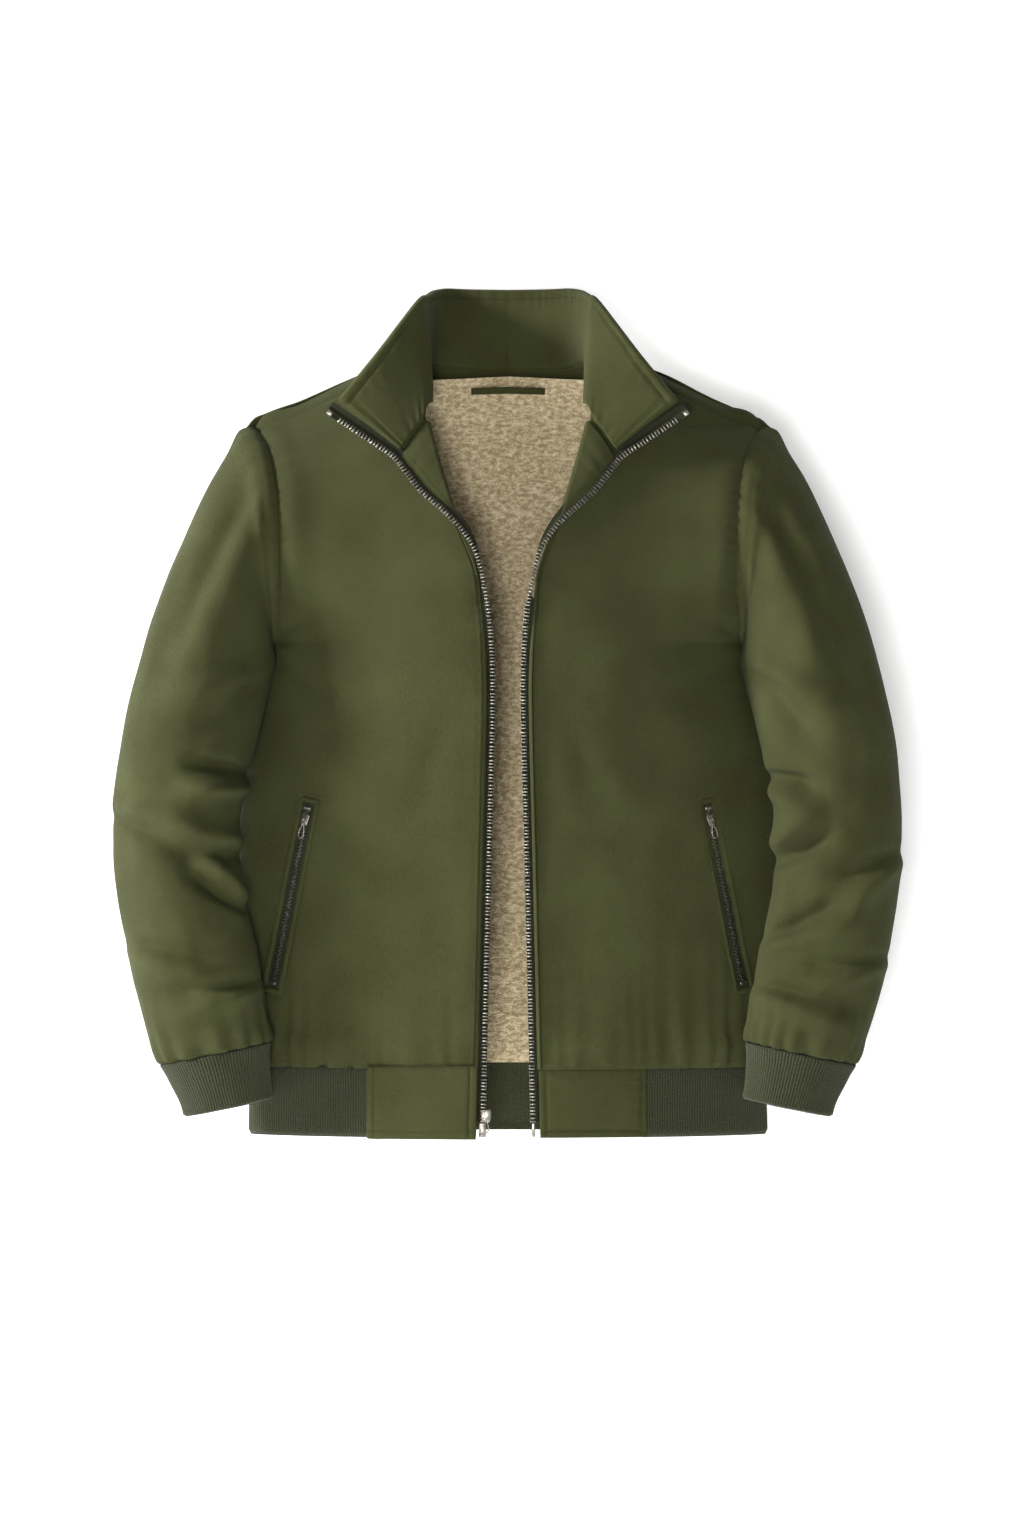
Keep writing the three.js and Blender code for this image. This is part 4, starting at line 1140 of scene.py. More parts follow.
# ---- Hem ---------------------------------------------------------------------------------------------
@dataclass
class Hem:
    """The rib knit round the hem and the plain cloth tab at each front edge."""

    tab_outer: float = FORM.tab_outer
    rib_pitch: float = 2.3
    samples: int = 900

    def point(self, turn: float, z: float, inset: float) -> Vector:
        """Return a point of the hem round the body."""
        sine = math.sin(turn)
        x = (FORM.side_half(z) - inset) * math.cos(turn)
        return Vector((x, math.copysign((FORM.depth(z) - inset) * abs(sine) ** 1.4, sine), z))

    def build_knit(self) -> None:
        """Make the rib from tab to tab round the back."""
        start = -math.acos((self.tab_outer - 1.5) / FORM.hem_half)
        turns = [lerp(start, math.pi - start, i / self.samples) for i in range(self.samples + 1)]
        spots = [self.point(turn, FORM.rib_top_z, 0) for turn in turns]
        lengths = [0.0]
        for a, b in zip(spots, spots[1:]):
            lengths.append(lengths[-1] + (b - a).length)
        total = lengths[-1]
        ribs = round(total / self.rib_pitch)

        def knit(u: float, v: float) -> Vector:
            """Return the hem band's ribbed point."""
            i = min(bisect_right(lengths, u * total) - 1, self.samples - 1)
            part = (u * total - lengths[i]) / (lengths[i + 1] - lengths[i])
            turn = lerp(turns[i], turns[i + 1], part)
            z = lerp(FORM.hem_z, FORM.rib_top_z + 2, v)
            fold = 2.2 * (1 - math.sqrt(max(0.0, 1 - clamp((0.05 - v) / 0.05) ** 2)))
            column = 0.6 * (1 - abs(math.cos(math.pi * u * ribs)) ** 0.7)
            wave = 0.9 * noise.noise(Vector((u * total / 45, 3.0, v * 1.5)))
            return self.point(turn, z, 0.4 + fold + column + wave + 1.4 * bump(v, 1, 0.05))

        bm = cloth_grid(ribs * 6, 14, knit, (ribs * self.rib_pitch, FORM.rib_height))
        face_towards(bm, Vector((0, 0, -650)))
        piece = make_piece("hem_knit", bm, WARDROBE.rib, wall=1.0)
        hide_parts("hem_rib")

    def tab_point(self, side: Side, x: float, z: float, out: float) -> Vector:
        """Return a point of a tab, x from the centre line."""
        turn = -math.acos(x / FORM.side_half(z))
        return side.mirror(self.point(turn, z, -out))

    def build_tab(self, side: Side) -> None:
        """Make one tab, padded by its turned edges."""
        def tab(u: float, v: float) -> Vector:
            """Return the tab's point, rounded down at its turned edges."""
            z = lerp(FORM.hem_z + 0.4, FORM.rib_top_z + 1.2, v)
            x = lerp(FORM.zip_x(z) + FORM.cloth_to_chain + 1.2, self.tab_outer, u)
            across, up = x - FORM.zip_x(z) - FORM.cloth_to_chain, z - FORM.hem_z
            edge = min(self.tab_outer - x, up, FORM.rib_top_z + 1.2 - z, across)
            rounded = -1.7 * (1 - math.sqrt(1 - clamp(1 - edge / 2.4) ** 2))
            ditch = -0.9 * (bump(self.tab_outer - x, 5.5, 1.3) + bump(up, 6.0, 1.3) + bump(across, 7.5, 1.3))
            swell = 0.8 * cloth_swell(x * 1.6, z * 2, side.value * 8.0)
            drawn = 0.5 * pucker(z, 4.0 + side.value, 9) * bump(self.tab_outer - x, 4, 9)
            return self.tab_point(side, x, z, 1.2 + rounded + ditch + swell + drawn)

        bm = cloth_grid(64, 40, tab, (96, FORM.rib_height))
        face_towards(bm, Vector((side.value * 70, 0, -650)))
        piece = make_piece(f"{side.word}_hem_tab_cloth", bm, WARDROBE.shell, wall=3.0)
        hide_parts(f"{side.word}_hem_tab")

    def sew(self, side: Side, bm: bmesh.types.BMesh) -> None:
        """Add the tab's stitches."""
        low, high = FORM.hem_z + 6, FORM.rib_top_z - 1
        outer = self.tab_outer - 5.5

        def inner(z: float) -> float:
            """Return the x of the stitches beside the zip."""
            return FORM.zip_x(z) + FORM.cloth_to_chain + 7.5

        out = Vector((0, -1, 0))
        Seam().sew(bm, lambda t: self.tab_point(side, outer, lerp(low, high, t), 1.35), out)
        Seam().sew(bm, lambda t: self.tab_point(side, lerp(inner(low), outer, t), low, 1.35), out)

    def build(self) -> None:
        """Make the hem."""
        self.build_knit()
        for side in Side:
            self.build_tab(side)


# ---- Front edge: facing and main zip -----------------------------------------------------------------
@dataclass
class FrontEdge:
    """One front edge: the facing that turns out into the lapel, the tape and the teeth."""

    side: Side
    facing_width: float = 44
    facing_back: float = 4
    turn_reach: float = 1.8
    lapel_end: float = 0.35
    turn_end: float = 0.6
    chain_width: float = 4.4
    chain_wall: float = 2.2
    chain_seat: float = 0.5
    tooth_pitch: float = 3.05
    chain_end: float = 0.985

    def __post_init__(self) -> None:
        """Find the chain's line."""
        self.line = FORM.zip_route(self.side)

    def lapel_edges(self, v: float) -> tuple[Vector, Vector]:
        """Return the fold and the free edge as (x, 0, z) at v."""
        zip_x, zip_z = FORM.edge_at(v, FORM.lapel_zip)
        roll_x, roll_z = FORM.edge_at(v, FORM.lapel_roll)
        width = math.hypot(zip_x - roll_x, zip_z - roll_z)
        fold_x = roll_x + FORM.fold_shift(v)
        keep = max(width - FORM.cloth_to_chain, 0) / max(width, 1)
        edge_x = max(lerp(roll_x, zip_x, keep), fold_x + 0.3)
        return Vector((fold_x, 0, roll_z)), Vector((edge_x, 0, lerp(roll_z, zip_z, keep)))

    def facing_point(self, u: float, v: float, out: float = 0.0) -> Vector:
        """Return a point of the facing, u from the lapel's edge round the fold to the inside."""
        reach = v * 0.985
        fold, edge = self.lapel_edges(reach)
        x, z, inset = fold.x, fold.z, self.facing_back
        if u < self.lapel_end:
            t = u / self.lapel_end
            spot = edge.lerp(fold, t)
            x, z = spot.x, spot.z
            wide = smooth((edge - fold).length, 6, 30)
            crown = wide * 2.2 * math.sin(math.pi * clamp(t)) + 0.5 * wide * pucker(v * 520, 41.0, 21)
            inset = FORM.facing_front - crown - out
        elif u < self.turn_end:
            turn = math.pi * (u - self.lapel_end) / (self.turn_end - self.lapel_end)
            inset = lerp(FORM.facing_front - out, self.facing_back, (1 - math.cos(turn)) / 2)
            x -= math.sin(turn) * self.turn_reach
        else:
            x += self.facing_width * (u - self.turn_end) / (1 - self.turn_end)
        return self.side.mirror(FORM.body_point(x, z, inset, -1))

    def frame(self, t: float) -> tuple[Vector, Vector, Vector, Vector]:
        """Return the chain's point, its way along, across and out of the cloth."""
        step = 0.004
        along = (self.line(min(t + step, 1)) - self.line(max(t - step, 0))).normalized()
        across = Vector((0, 1, 0)).cross(along).normalized()
        out = along.cross(across).normalized()
        return self.line(t), along, across, (-out if out.y > 0 else out)

    def to_cloth(self, z: float) -> float:
        """Return 1 where the cloth lies outside the chain and -1 where the lapel has turned it over."""
        below = 1 - smooth(z, FORM.fold_z - 22, FORM.fold_z - 4)
        return self.side.value * (below - smooth(z, FORM.fold_z + 4, FORM.fold_z + 75))

    def at(self, t: float, across: float, out: float) -> Vector:
        """Return a point beside the chain, `across` towards the cloth."""
        point, _, sideways, outward = self.frame(t)
        return point + sideways * (self.to_cloth(point.z) * across) + outward * out

    def build_facing(self) -> None:
        """Make the facing."""
        bm = cloth_grid(64, 210, self.facing_point, (90, 560))
        inside = self.side.mirror(Vector((60, 0, -250)))
        face_towards(bm, inside)
        piece = make_piece(f"{self.side.word}_facing_cloth", bm, WARDROBE.shell, wall=1.3, offset=0)
        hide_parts(f"{self.side.word}_facing")

    def build_tape(self) -> None:
        """Make the tape with its corded edge."""
        width, cord, past_teeth = 12, 0.8, 0.2

        def tape(u: float, v: float) -> Vector:
            """Return the tape's point, with its raised rib."""
            off = u * width - self.chain_width / 2 - past_teeth
            bead = cord * bump(off, -self.chain_width / 2, 0.8)
            return self.at(v, off, bead - 0.1 - 1.6 * smooth(off, 3, 5))

        bm = cloth_grid(18, 420, tape, (width, 800))
        face_towards(bm, Vector((0, 900, -300)))
        piece = make_piece(f"{self.side.word}_zip_tape_cloth", bm, WARDROBE.tape, wall=0.5)
        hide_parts(f"{self.side.word}_zip_tape")

    def build_teeth(self) -> None:
        """Set the teeth one by one along the tape."""
        tooth = box_template((self.chain_width, self.chain_wall, 1.55), 0.35)
        head = box_template((1.4, self.chain_wall * 0.8, 1.9), 0.4)
        samples = [self.line(i / 900) for i in range(901)]
        lengths = [0.0]
        for a, b in zip(samples, samples[1:]):
            lengths.append(lengths[-1] + (b - a).length)
        bm = bmesh.new()
        count = int(lengths[-1] * self.chain_end / self.tooth_pitch)
        for k in range(count):
            want = (k + 0.5) * self.tooth_pitch
            t = (bisect_right(lengths, want) - 1) / 900
            point, along, across, out = self.frame(t)
            centre = point + out * (self.chain_seat + self.chain_wall / 2)
            stamp(bm, tooth, basis(across, -out, along, centre))
            tip = centre - across * (self.to_cloth(point.z) * (self.chain_width / 2 - 0.1))
            stamp(bm, head, basis(across, -out, along, tip))
        piece = make_piece(f"{self.side.word}_zip_teeth", bm, WARDROBE.teeth)
        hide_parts(f"{self.side.word}_zip_chain")
        point, along, across, out = self.frame(0.992)
        bm = bmesh.new()
        block = box_template((self.chain_width + 0.2, self.chain_wall + 0.6, 5.0), 0.8, 3)
        stamp(bm, block, basis(across, -out, along, point + out * (self.chain_seat + self.chain_wall / 2)))
        piece = make_piece(f"{self.side.word}_top_stop_cast", bm, WARDROBE.bright)
        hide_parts(f"{self.side.word}_top_stop")

    def build_end(self) -> None:
        """Make the retainer box or the pin at the foot of the chain."""
        right = self.side is Side.RIGHT
        name = "retainer_box" if right else "insertion_pin"
        point, along, across, out = self.frame(0)
        bm = bmesh.new()
        size = (6.4, 3.8, 12.5) if right else (2.8, 3.6, 12.5)
        stamp(bm, box_template(size, 0.7, 3), basis(across, -out, along, point + out - along * 6.6))
        if right:
            groove = box_template((4.6, 0.6, 8.5), 0.25)
            stamp(bm, groove, basis(across, -out, along, point + out * 3.0 - along * 6.6))
        piece = make_piece(f"{name}_cast", bm, WARDROBE.bright)
        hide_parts(name)

    def sew(self, bm: bmesh.types.BMesh) -> None:
        """Add the stitches beside the zip, up the front and along the lapel."""
        out = Vector((0, -1, 0))

        def front(t: float) -> Vector:
            """Return the stitches' point, beside the zip."""
            z = lerp(FORM.rib_top_z + 2, FORM.fold_z - 6, t)
            return SHELL.front(self.side, FORM.zip_x(z) + 11.5, z, 0.15)

        Seam().sew(bm, front, out)

        def lapel(t: float) -> Vector:
            """Return the stitches' point, in from the lapel's free edge."""
            v = lerp(0.68, 0.985, t)
            fold, edge = self.lapel_edges(v * 0.985)
            share = min(6.5 / max((edge - fold).length, 1), 0.8)
            return self.facing_point(self.lapel_end * share, v, 0.8)

        Seam().sew(bm, lapel, out)

    def build(self) -> None:
        """Make everything along the edge."""
        self.build_facing()
        self.build_tape()
        self.build_teeth()
        self.build_end()


# ---- Collar ------------------------------------------------------------------------------------------
@dataclass
class Collar:
    """The stand collar with its turned-out wings: outer cloth, interlining and inner cloth."""

    reach: float = 0.985
    thick: float = 7.2

    def __post_init__(self) -> None:
        """Lay out the neck seam and the free edge."""
        half, height, tip = FORM.neck_half, FORM.collar_height, FORM.collar_tip

        def back(x: float) -> Vector:
            """Return a back point of the neck seam."""
            return FORM.body_point(x, FORM.back_neck_line(x) + 0.6, 0, 1)

        def front(x: float, z: float) -> Vector:
            """Return a front point of the neck seam."""
            return FORM.body_point(x, z, -1, -1)

        self.base = Route([
            back(0), back(34), back(60), Vector((half - 1, 0, 1.5)), front(half - 0.5, -22),
            front(72.8, -48), front(84, -65), front(95.5, -81.5),
        ])
        self.top = Route([
            Vector((0, 46, height)), Vector((34, 45, height)), Vector((58, 38, height)),
            Vector((70, 22, height - 3)), Vector((76, 2, height - 9)), Vector((82, -14, height - 16)),
            Vector((118, -42, 2)), Vector((tip[0] - 5, -50, tip[1] + 4)),
        ])

    def middle(self, u: float, v: float) -> Vector:
        """Return the ruled surface between the seam and the free edge."""
        across = (2 * u - 1) * self.reach
        side = Side.RIGHT if across < 0 else Side.LEFT
        return side.mirror(self.base(abs(across)) * (1 - v) + self.top(abs(across)) * v)

    def layer(self, u: float, v: float, outside: bool, out: float = 0.0) -> Vector:
        """Return a point of one face of the collar.

        Args:
            u: 0 to 1 from the wearer's right tip to the left one.
            v: 0 to 1 from the seam to the free edge.
            outside: True for the outer cloth.
            out: How far in front of the cloth.

        Returns:
            The point, in millimetres.
        """
        v = lerp(-0.05, 1, v)
        base, edge = self.middle(u, 0), self.middle(u, 1)
        height = max((edge - base).length, 1)
        down = (1 - v) * height
        end = min(u, 1 - u) * 620
        rounded = math.sqrt(1 - (1 - clamp(down / 3.4)) ** 2) * math.sqrt(1 - (1 - clamp(end / 3.4)) ** 2)
        half = self.thick / 2
        ditch = 1.3 * (bump(down, 9, 1.4) + bump(end, 8, 1.5) * smooth(down, 6, 12))
        crown = 0.9 * math.sin(math.pi * v) + 0.7 * cloth_swell(u * 700, v * 90, 15.0 + outside)
        ripple = 0.35 * pucker(u * 560, 18.0, 12) * (bump(down, 4, 4) + bump(down, 13, 5))
        ripple += 0.45 * pucker(u * 560, 19.0, 15) * bump(v, 0, 0.16)
        depth = max((half + crown + ripple) * rounded - ditch, 0.25) + out
        normal = normal_of(self.middle, u, v, 0.01)
        sign = -1 if outside else 1
        return self.middle(u, v) + normal * (half + sign * depth)

    def build(self) -> None:
        """Make the three layers."""
        faces = ((True, "collar_shell", "collar_outer"), (False, "collar_lining", "collar_inner"))
        for outside, name, node in faces:
            bm = cloth_grid(230, 40, lambda u, v, o=outside: self.layer(u, v, o), (560, 72))
            bm.normal_update()
            bm.faces.ensure_lookup_table()
            centre = sum((f.calc_center_median() for f in bm.faces), Vector()) / len(bm.faces)
            looks = sum((f.calc_center_median() - Vector((0, 0, centre.z))).dot(f.normal) for f in bm.faces
                        if abs(f.calc_center_median().x) < 0.05)
            if (looks > 0) != outside:
                bmesh.ops.reverse_faces(bm, faces=bm.faces[:])
            piece = make_piece(name, bm, WARDROBE.shell, wall=0.8)
            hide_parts(node)

        def stiff(u: float, v: float) -> Vector:
            """Return the stiffener's point, midway between the two faces."""
            u, v = lerp(0.012, 0.988, u), lerp(0.03, 0.93, v)
            return self.middle(u, v) + normal_of(self.middle, u, v, 0.01) * (self.thick / 2)

        bm = cloth_grid(80, 8, stiff, (540, 64))
        piece = make_piece("collar_stiffener", bm, WARDROBE.tape, wall=0.6, offset=0)
        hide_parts("collar_interlining")

    def sew(self, bm: bmesh.types.BMesh) -> None:
        """Add the stitches round the collar's free edge, on both faces."""
        for outside in (True, False):
            def edge(t: float, outside: bool = outside) -> Vector:
                """Return the stitches' point, in from the free edge."""
                u = lerp(0.014, 0.986, t)
                height = max((self.middle(u, 1) - self.middle(u, 0)).length, 1)
                return self.layer(u, 1 - 9 / height, outside, 0.1)

            out = Vector((0, -1, 0)) if outside else Vector((0, -1, 0.4))
            Seam().sew(bm, edge, out)


# ---- Sliders and pullers -----------------------------------------------------------------------------
@dataclass(frozen=True)
class Runner:
    """A zip slider with a wire puller, in a frame with +Y out of the cloth and +Z up the chain."""

    front: float
    back: float
    width: float
    pull_length: float
    height: float = 11
    plate: float = 1
    gap: float = 0.3
    post: float = 0.8
    arch_reach: float = 2.6
    arch_z: float = 1

    @property
    def face(self) -> float:
        """Return the depth of the front plate's face."""
        return self.front + self.gap + self.plate

    def plate_template(self) -> bpy.types.Mesh:
        """Return a slider plate: broad at the top and drawn in at the foot."""
        bm = bmesh.new()
        bmesh.ops.create_cube(bm, size=1)
        bmesh.ops.scale(bm, vec=(self.width, self.plate, self.height), verts=bm.verts[:])
        low = [v for v in bm.verts if v.co.z < 0]
        bmesh.ops.scale(bm, vec=(0.72, 1, 1), verts=low)
        upright = [e for e in bm.edges if abs(e.verts[0].co.y - e.verts[1].co.y) > self.plate * 0.9]
        rounding = {"profile": 0.5, "affect": "EDGES", "material": -1}
        bmesh.ops.bevel(bm, geom=upright, offset=2.0, segments=4, **rounding)
        bmesh.ops.bevel(bm, geom=bm.edges[:], offset=0.22, segments=2, **rounding)
        return to_template(bm)

    def build(self, name: str, node: str, body: str, place: Matrix) -> None:
        """Make the slider.

        Args:
            name: The piece's name.
            node: The CAD node it stands for.
            body: The body it rides on.
            place: Its frame.
        """
        bm = bmesh.new()
        plate = self.plate_template()
        stamp(bm, plate, place @ Matrix.Translation((0, self.face - self.plate / 2, 0)))
        stamp(bm, plate, place @ Matrix.Translation((0, self.back - self.gap - self.plate / 2, 0)))
        depth = self.front - self.back + 2 * self.gap + self.plate
        post = box_template((self.post, depth, self.height * 0.7), 0.15)
        stamp(bm, post, place @ Matrix.Translation((0, (self.front + self.back) / 2, 0)))
        rise = [(-2.6, -0.5), (-2.4, 0.9), (-1.4, 2.0), (0, 2.3), (1.4, 2.0), (2.4, 0.9), (2.6, -0.5)]
        arch = tube_template([Vector((0, self.face + out, self.arch_z + z)) for z, out in rise], 0.5, False)
        stamp(bm, arch, place)
        piece = make_piece(name, bm, WARDROBE.bright, body=body)
        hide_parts(node)

    def build_pull(self, name: str, node: str, body: str, place: Matrix) -> None:
        """Make the puller: a short link over the arch and a teardrop of wire."""
        pivot = Vector((0, self.face + self.arch_reach / 2, self.arch_z))
        bm = bmesh.new()
        link = [Vector((1.35 * math.cos(a), 0, -1.6 + 2.0 * math.sin(a)))
                for a in (2 * math.pi * i / 16 for i in range(16))]
        stamp(bm, tube_template(link, 0.45, True, 7), place @ Matrix.Translation(pivot))
        drop = []
        top, reach = -3.2, self.pull_length - 3.8
        for i in range(28):
            angle = 2 * math.pi * i / 28
            down = (1 - math.cos(angle)) / 2
            drop.append(Vector((3.4 * math.sin(angle) * down ** 0.75, 0, top - reach * down)))
        stamp(bm, tube_template(drop, 0.62, True), place @ Matrix.Translation(pivot))
        piece = make_piece(name, bm, WARDROBE.bright, body=body)
        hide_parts(node)


# ---- Pockets -----------------------------------------------------------------------------------------
@dataclass
class Pocket:
    """One zipped hand pocket: welt, tape, teeth, stops, slider, puller and bag."""

    side: Side
    chain_front: float = 1.9
    chain_back: float = -0.6
    slot_half: float = 5.4
    welt_wide: float = 4.6
    parked: float = 16
    tooth_pitch: float = 1.55

    def __post_init__(self) -> None:
        """Find the pocket's flat frame."""
        reach = FORM.pocket_length * 0.4
        top, bottom, middle = self.on_cloth(reach), self.on_cloth(-reach), self.on_cloth(0)
        z_axis = (top - bottom).normalized()
        aside = self.side.mirror(FORM.body_point(abs(middle.x) + 10, middle.z, 0, -1))
        across = (aside - middle) * self.side.value
        y_axis = across.cross(z_axis).normalized()
        x_axis = y_axis.cross(z_axis).normalized()
        self.frame = basis(x_axis, y_axis, z_axis, (top + bottom) * 0.25 + middle * 0.5)

    def on_cloth(self, s: float) -> Vector:
        """Return the cloth's smooth surface a distance up the zip from its middle."""
        down = FORM.pocket_length / 2 - s
        x = FORM.pocket_top[0] + down * math.sin(FORM.pocket_lean)
        z = FORM.pocket_top[1] - down * math.cos(FORM.pocket_lean)
        return self.side.mirror(FORM.body_point(x, z, 0, -1))

    def welt_point(self, u: float, v: float) -> Vector:
        """Return a point of the rounded welt, u round the pocket and v over the roll."""
        half_x = self.slot_half + self.welt_wide / 2
        half_z = FORM.pocket_length / 2 + 1.5
        straight, end = 2 * half_z, 2 * half_x
        along = (u % 1) * 2 * (straight + end)
        if along < straight:
            x, z, nx, nz = half_x, along - half_z, 1, 0
        elif along < straight + end:
            x, z, nx, nz = half_x - (along - straight), half_z, 0, 1
        elif along < 2 * straight + end:
            x, z, nx, nz = -half_x, half_z - (along - straight - end), -1, 0
        else:
            x, z, nx, nz = along - 2 * straight - end - half_x, -half_z, 0, -1
        roll = lerp(-0.18, 1.18, v) * math.pi
        off = -math.cos(roll) * self.welt_wide / 2
        corner = min(abs(abs(x) - half_x) + abs(abs(z) - half_z), 6) / 6
        height = 0.2 + 2.1 * math.sin(roll) + 0.25 * pucker(along, 50.0, 9)
        bow = 0.5 * noise.noise(Vector((z / 30, self.side.value * 3.0, 1)))
        return self.frame @ Vector((x + nx * off + bow, height - 0.4 * (1 - corner), z + nz * off))

    def piece(self, part: str, bm: bmesh.types.BMesh, material: bpy.types.Material, slot: str,
              wall: float = 0.0) -> bpy.types.Object:
        """Finish one piece of the pocket under its CAD node's name."""
        node = f"{self.side.word}_pocket_{part}"
        piece = make_piece(f"{node}_made", bm, material, wall=wall)
        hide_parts(node)
        return piece

    def build(self) -> None:
        """Make the pocket."""
        word = self.side.word
        length = FORM.pocket_length
        bm = cloth_grid(220, 12, self.welt_point, (360, 8))
        bmesh.ops.remove_doubles(bm, verts=bm.verts[:], dist=1e-5)
        face_towards(bm, self.frame @ Vector((0, -60, 0)))
        welt = self.piece("welt", bm, WARDROBE.shell, "shell_cloth", 0.7)
        self.build_tape()
        bm = bmesh.new()
        tooth = box_template((3.4, self.chain_front - self.chain_back, 1.1), 0.28)
        count = int((length - 14) / self.tooth_pitch)
        for k in range(count):
            z = (k - (count - 1) / 2) * self.tooth_pitch
            middle = (self.chain_front + self.chain_back) / 2
            stamp(bm, tooth, self.frame @ Matrix.Translation((0.75 if k % 2 else -0.75, middle, z)))
        self.piece("chain", bm, WARDROBE.teeth, "zip_metal")
        for part, sign in (("top_stop", 1), ("bottom_stop", -1)):
            bm = bmesh.new()
            stop = box_template((7.0, 1.4, 2.6), 0.5, 3)
            spot = (0, self.chain_front + 0.7, sign * (length / 2 - 5.6))
            stamp(bm, stop, self.frame @ Matrix.Translation(spot))
            self.piece(part, bm, WARDROBE.bright, "zip_metal")
        runner = Runner(self.chain_front, self.chain_back, 8, 18)
        place = self.frame @ Matrix.Translation((0, 0, length / 2 - self.parked))
        runner.build(f"{word}_pocket_slider_cast", f"{word}_pocket_slider", f"{word}_pocket_slider", place)
        runner.build_pull(f"{word}_pocket_pull_wire", f"{word}_pocket_pull", f"{word}_pocket_pull", place)
        self.build_bag()

    def build_tape(self) -> None:
        """Make the two tapes under the welt, as one sheet with the teeth on it."""
        def tape(u: float, v: float) -> Vector:
            """Return the tape's point, with its raised rib."""
            x = lerp(-7, 7, u)
            rib = 0.25 * bump(abs(x), 3.2, 0.7)
            return self.frame @ Vector((x, rib + 0.05, lerp(-1, 1, v) * (FORM.pocket_length / 2 + 2)))

        bm = cloth_grid(22, 120, tape, (14, FORM.pocket_length + 4))
        face_towards(bm, self.frame @ Vector((0, -60, 0)))
        piece = self.piece("tape", bm, WARDROBE.tape, "zip_tape", 0.4)

    def build_bag(self) -> None:
        """Make the bag between the shell and the lining."""
        top, bottom = FORM.pocket_top[1] + 14, FORM.rib_top_z + 12

        def bag(u: float, v: float) -> Vector:
            """Return the bag's point, hanging behind the shell."""
            x = 212 - 28 * v - 108 * (1 - u)
            return self.side.mirror(FORM.body_point(x, lerp(bottom, top, v), 5.0, -1))

        bm = cloth_grid(24, 44, bag, (108, top - bottom))
        piece = self.piece("bag", bm, WARDROBE.inner, "pocketing", 0.4)

    def sew(self, bm: bmesh.types.BMesh) -> None:
        """Add the stitches across both ends of the pocket and down its outer edge."""
        out = self.frame.to_3x3() @ Vector((0, 1, 0))
        half_x, half_z = self.slot_half + self.welt_wide + 1.4, FORM.pocket_length / 2 + 7

        def line(x0: float, z0: float, x1: float, z1: float) -> Callable[[float], Vector]:
            """Return a straight run over the cloth between two flat points."""
            ends = [self.frame @ Vector((x, 0, z)) for x, z in ((x0, z0), (x1, z1))]

            def at(t: float) -> Vector:
                """Return the point of the run at t, laid on the cloth."""
                spot = ends[0].lerp(ends[1], t)
                return SHELL.front(self.side, abs(spot.x), spot.z, 0.2)

            return at

        for z in (half_z, -half_z):
            Seam().sew(bm, line(-half_x, z, half_x, z), out)
        for x in (half_x, -half_x):
            Seam().sew(bm, line(x, -half_z, x, half_z), out)


# ---- Small parts -------------------------------------------------------------------------------------
def build_main_runner() -> None:
    """Make the main slider, parked at the foot of the wearer's right chain with its puller inside."""
    start, chain_width, tape_wall, seat = FORM.hem_z + 14, 4.4, 0.5, 2.7
    height, post, gap = 11, 0.8, 0.3
    z = start + height / 2 + gap

    def at(level: float) -> Vector:
        """Return the chain's line at a level."""
        return Side.RIGHT.mirror(FORM.body_point(FORM.zip_x(level), level, FORM.line_inset(level), -1))

    z_axis = (at(z + 150) - at(z)).normalized()
    y_axis = (Vector((0, 1, 0)) - z_axis * z_axis.y).normalized()
    x_axis = y_axis.cross(z_axis).normalized()
    beside = Matrix.Translation((chain_width / 2 + gap + post / 2, 0, 0))
    place = basis(x_axis, y_axis, z_axis, at(z)) @ beside
    runner = Runner(tape_wall, -seat, 9.6, 17)
    runner.build("main_slider_cast", "main_slider", "main_slider", place)
    runner.build_pull("main_pull_wire", "main_pull", "main_pull", place)


def build_hang_loop() -> None:
    """Make the cloth loop at the back of the neck, its two ends lying against the lining."""
    half, height, reach, middle_z = 32, 6, 12, -14

    def loop(u: float, v: float) -> Vector:
        """Return the loop's point, standing off the neck seam."""
        x = half * (2 * u - 1)
        z = middle_z + (v - 0.5) * height
        bulge = reach * math.cos(math.pi / 2 * (2 * u - 1)) ** 0.8
        edge = 0.35 * math.sqrt(1 - (2 * v - 1) ** 2)
        seat = FORM.body_point(x, z, 12.5, 1)
        return Vector((x, seat.y - bulge - edge, seat.z - 1.5 * math.cos(math.pi / 2 * (2 * u - 1))))

    bm = cloth_grid(60, 8, loop, (78, height))
    face_towards(bm, Vector((0, 200, -14)))
    piece = make_piece("hang_loop_cloth", bm, WARDROBE.shell, wall=1.1)
    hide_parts("hang_loop")


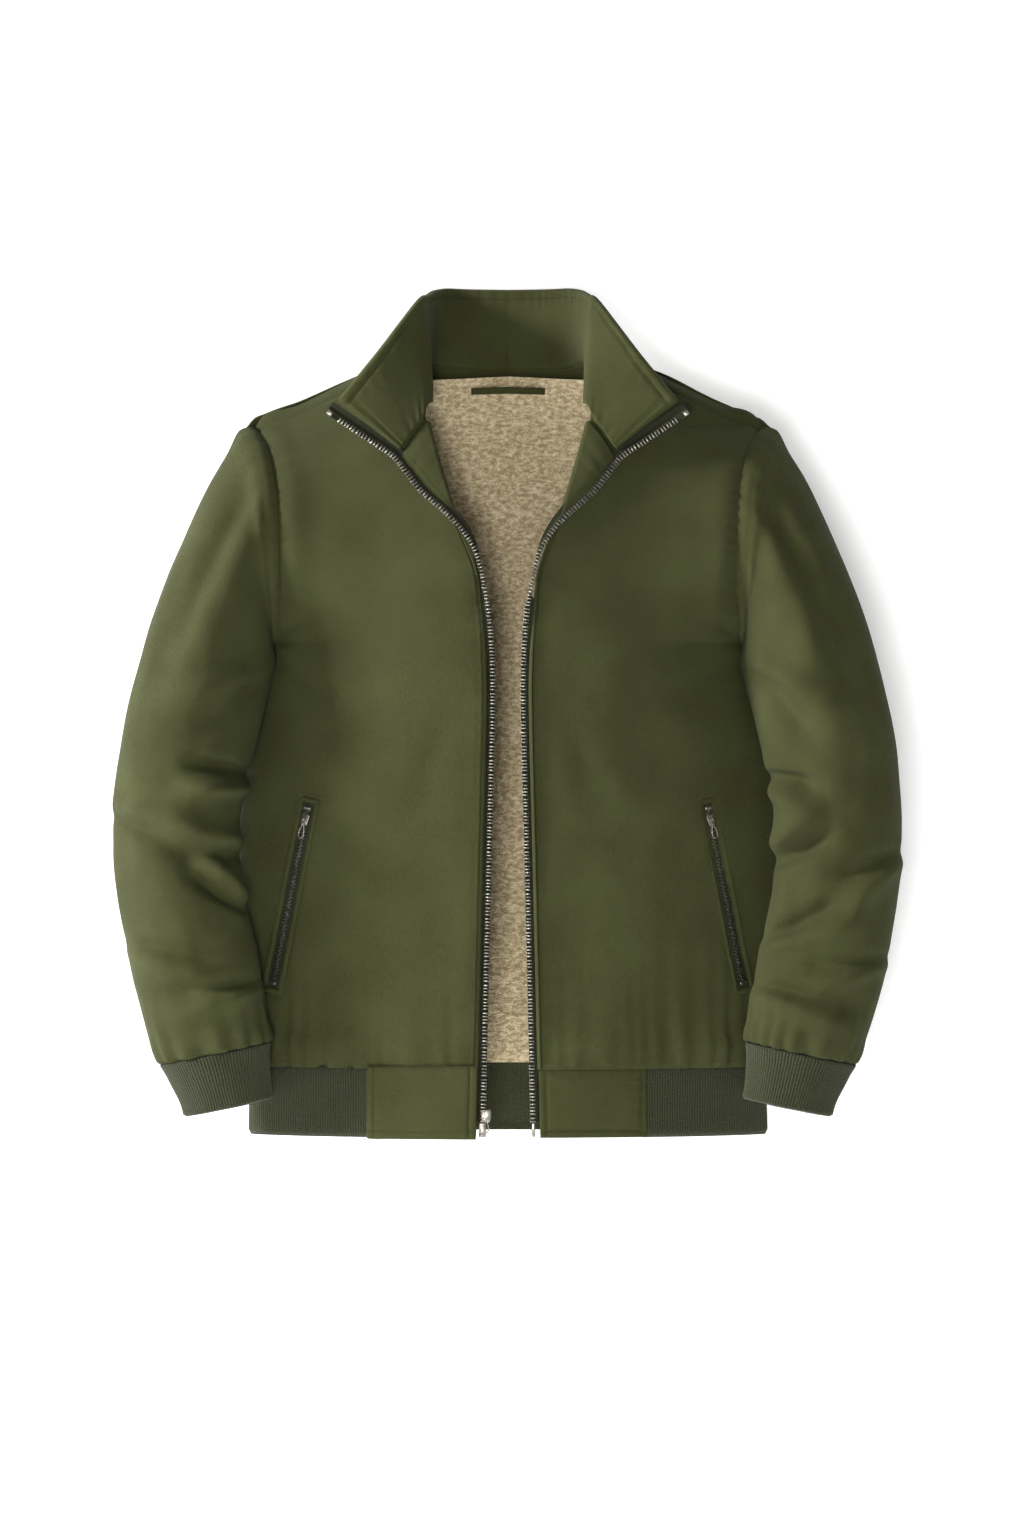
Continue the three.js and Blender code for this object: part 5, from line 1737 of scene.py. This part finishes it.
# ---- Stage -------------------------------------------------------------------------------------------
@dataclass(frozen=True)
class Studio:
    """The floor, the backdrop, the lights and the camera."""

    distance: float = 4.0
    picture_height: float = 1.352
    centre: tuple[float, float] = (0.0035, -0.356)

    def sheet_at(self, name: str, size: float, place: Callable[[float, float], Vector],
                 material: bpy.types.Material) -> None:
        """Add one plain stage sheet."""
        bm = bmesh.new()
        bmesh.ops.create_grid(bm, x_segments=1, y_segments=1, size=size)
        for vert in bm.verts:
            vert.co = place(vert.co.x, vert.co.y)
        make_piece(name, bm, material, body="")

    def lamp(self, name: str, spot: tuple[float, float, float], watts: float, size: float) -> None:
        """Add one soft lamp that looks at the jacket."""
        data = bpy.data.lights.new(name, "AREA")
        data.energy = watts
        data.size = size
        lamp = bpy.data.objects.new(name, data)
        lamp.location = spot
        aim = Vector((0, 0, -0.35)) - Vector(spot)
        lamp.rotation_euler = aim.to_track_quat("-Z", "Y").to_euler()
        bpy.context.scene.collection.objects.link(lamp)

    def build(self) -> None:
        """Set everything up."""
        paper = StagePaper("matt_white_paper", "#f4f4f3").build()
        self.sheet_at("floor", 2.2, lambda x, y: Vector((x, y, -1.05)), paper)
        self.sheet_at("backdrop", 6, lambda x, y: Vector((x, 0.1, y + 3)), paper)
        self.lamp("key", (-3.3, -0.8, 0.9), 260, 0.7)
        self.lamp("front", (-0.4, -4.2, -0.8), 92, 0.8)
        self.lamp("back", (-1.2, 3.0, 1.2), 60, 1.6)
        scene = bpy.context.scene
        world = bpy.data.worlds.new("studio")
        world.use_nodes = True
        tree = world.node_tree
        sky = tree.nodes["Background"]
        sky.inputs[0].default_value = (1, 1, 1, 1)
        seen = tree.nodes.new("ShaderNodeMapRange")
        seen.inputs[3].default_value = 0.22
        tree.links.new(tree.nodes.new("ShaderNodeLightPath").outputs["Is Camera Ray"], seen.inputs[0])
        tree.links.new(seen.outputs[0], sky.inputs[1])
        scene.world = world
        scene.view_settings.view_transform = "Standard"
        data = bpy.data.cameras.new("camera")
        data.sensor_fit = "VERTICAL"
        data.sensor_height = 36
        data.lens = self.distance * 36 / self.picture_height
        camera = bpy.data.objects.new("camera", data)
        camera.location = (self.centre[0], -self.distance, self.centre[1])
        camera.rotation_euler = (math.radians(90), 0, 0)
        scene.collection.objects.link(camera)
        scene.camera = camera


def main() -> None:
    """Build the jacket and its stage."""
    logging.basicConfig(level=logging.INFO, format="%(message)s")
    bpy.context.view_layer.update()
    BodyPanels().build()
    hem, collar, stitches = Hem(), Collar(), bmesh.new()
    hem.build()
    collar.build()
    collar.sew(stitches)
    for side in Side:
        Sleeve(side).build()
        edge = FrontEdge(side)
        edge.build()
        edge.sew(stitches)
        hem.sew(side, stitches)
        pocket = Pocket(side)
        pocket.build()
        pocket.sew(stitches)
    build_main_runner()
    build_hang_loop()
    make_piece("body_stitches", stitches, WARDROBE.thread)
    Studio().build()


if __name__ == "__main__":
    main()
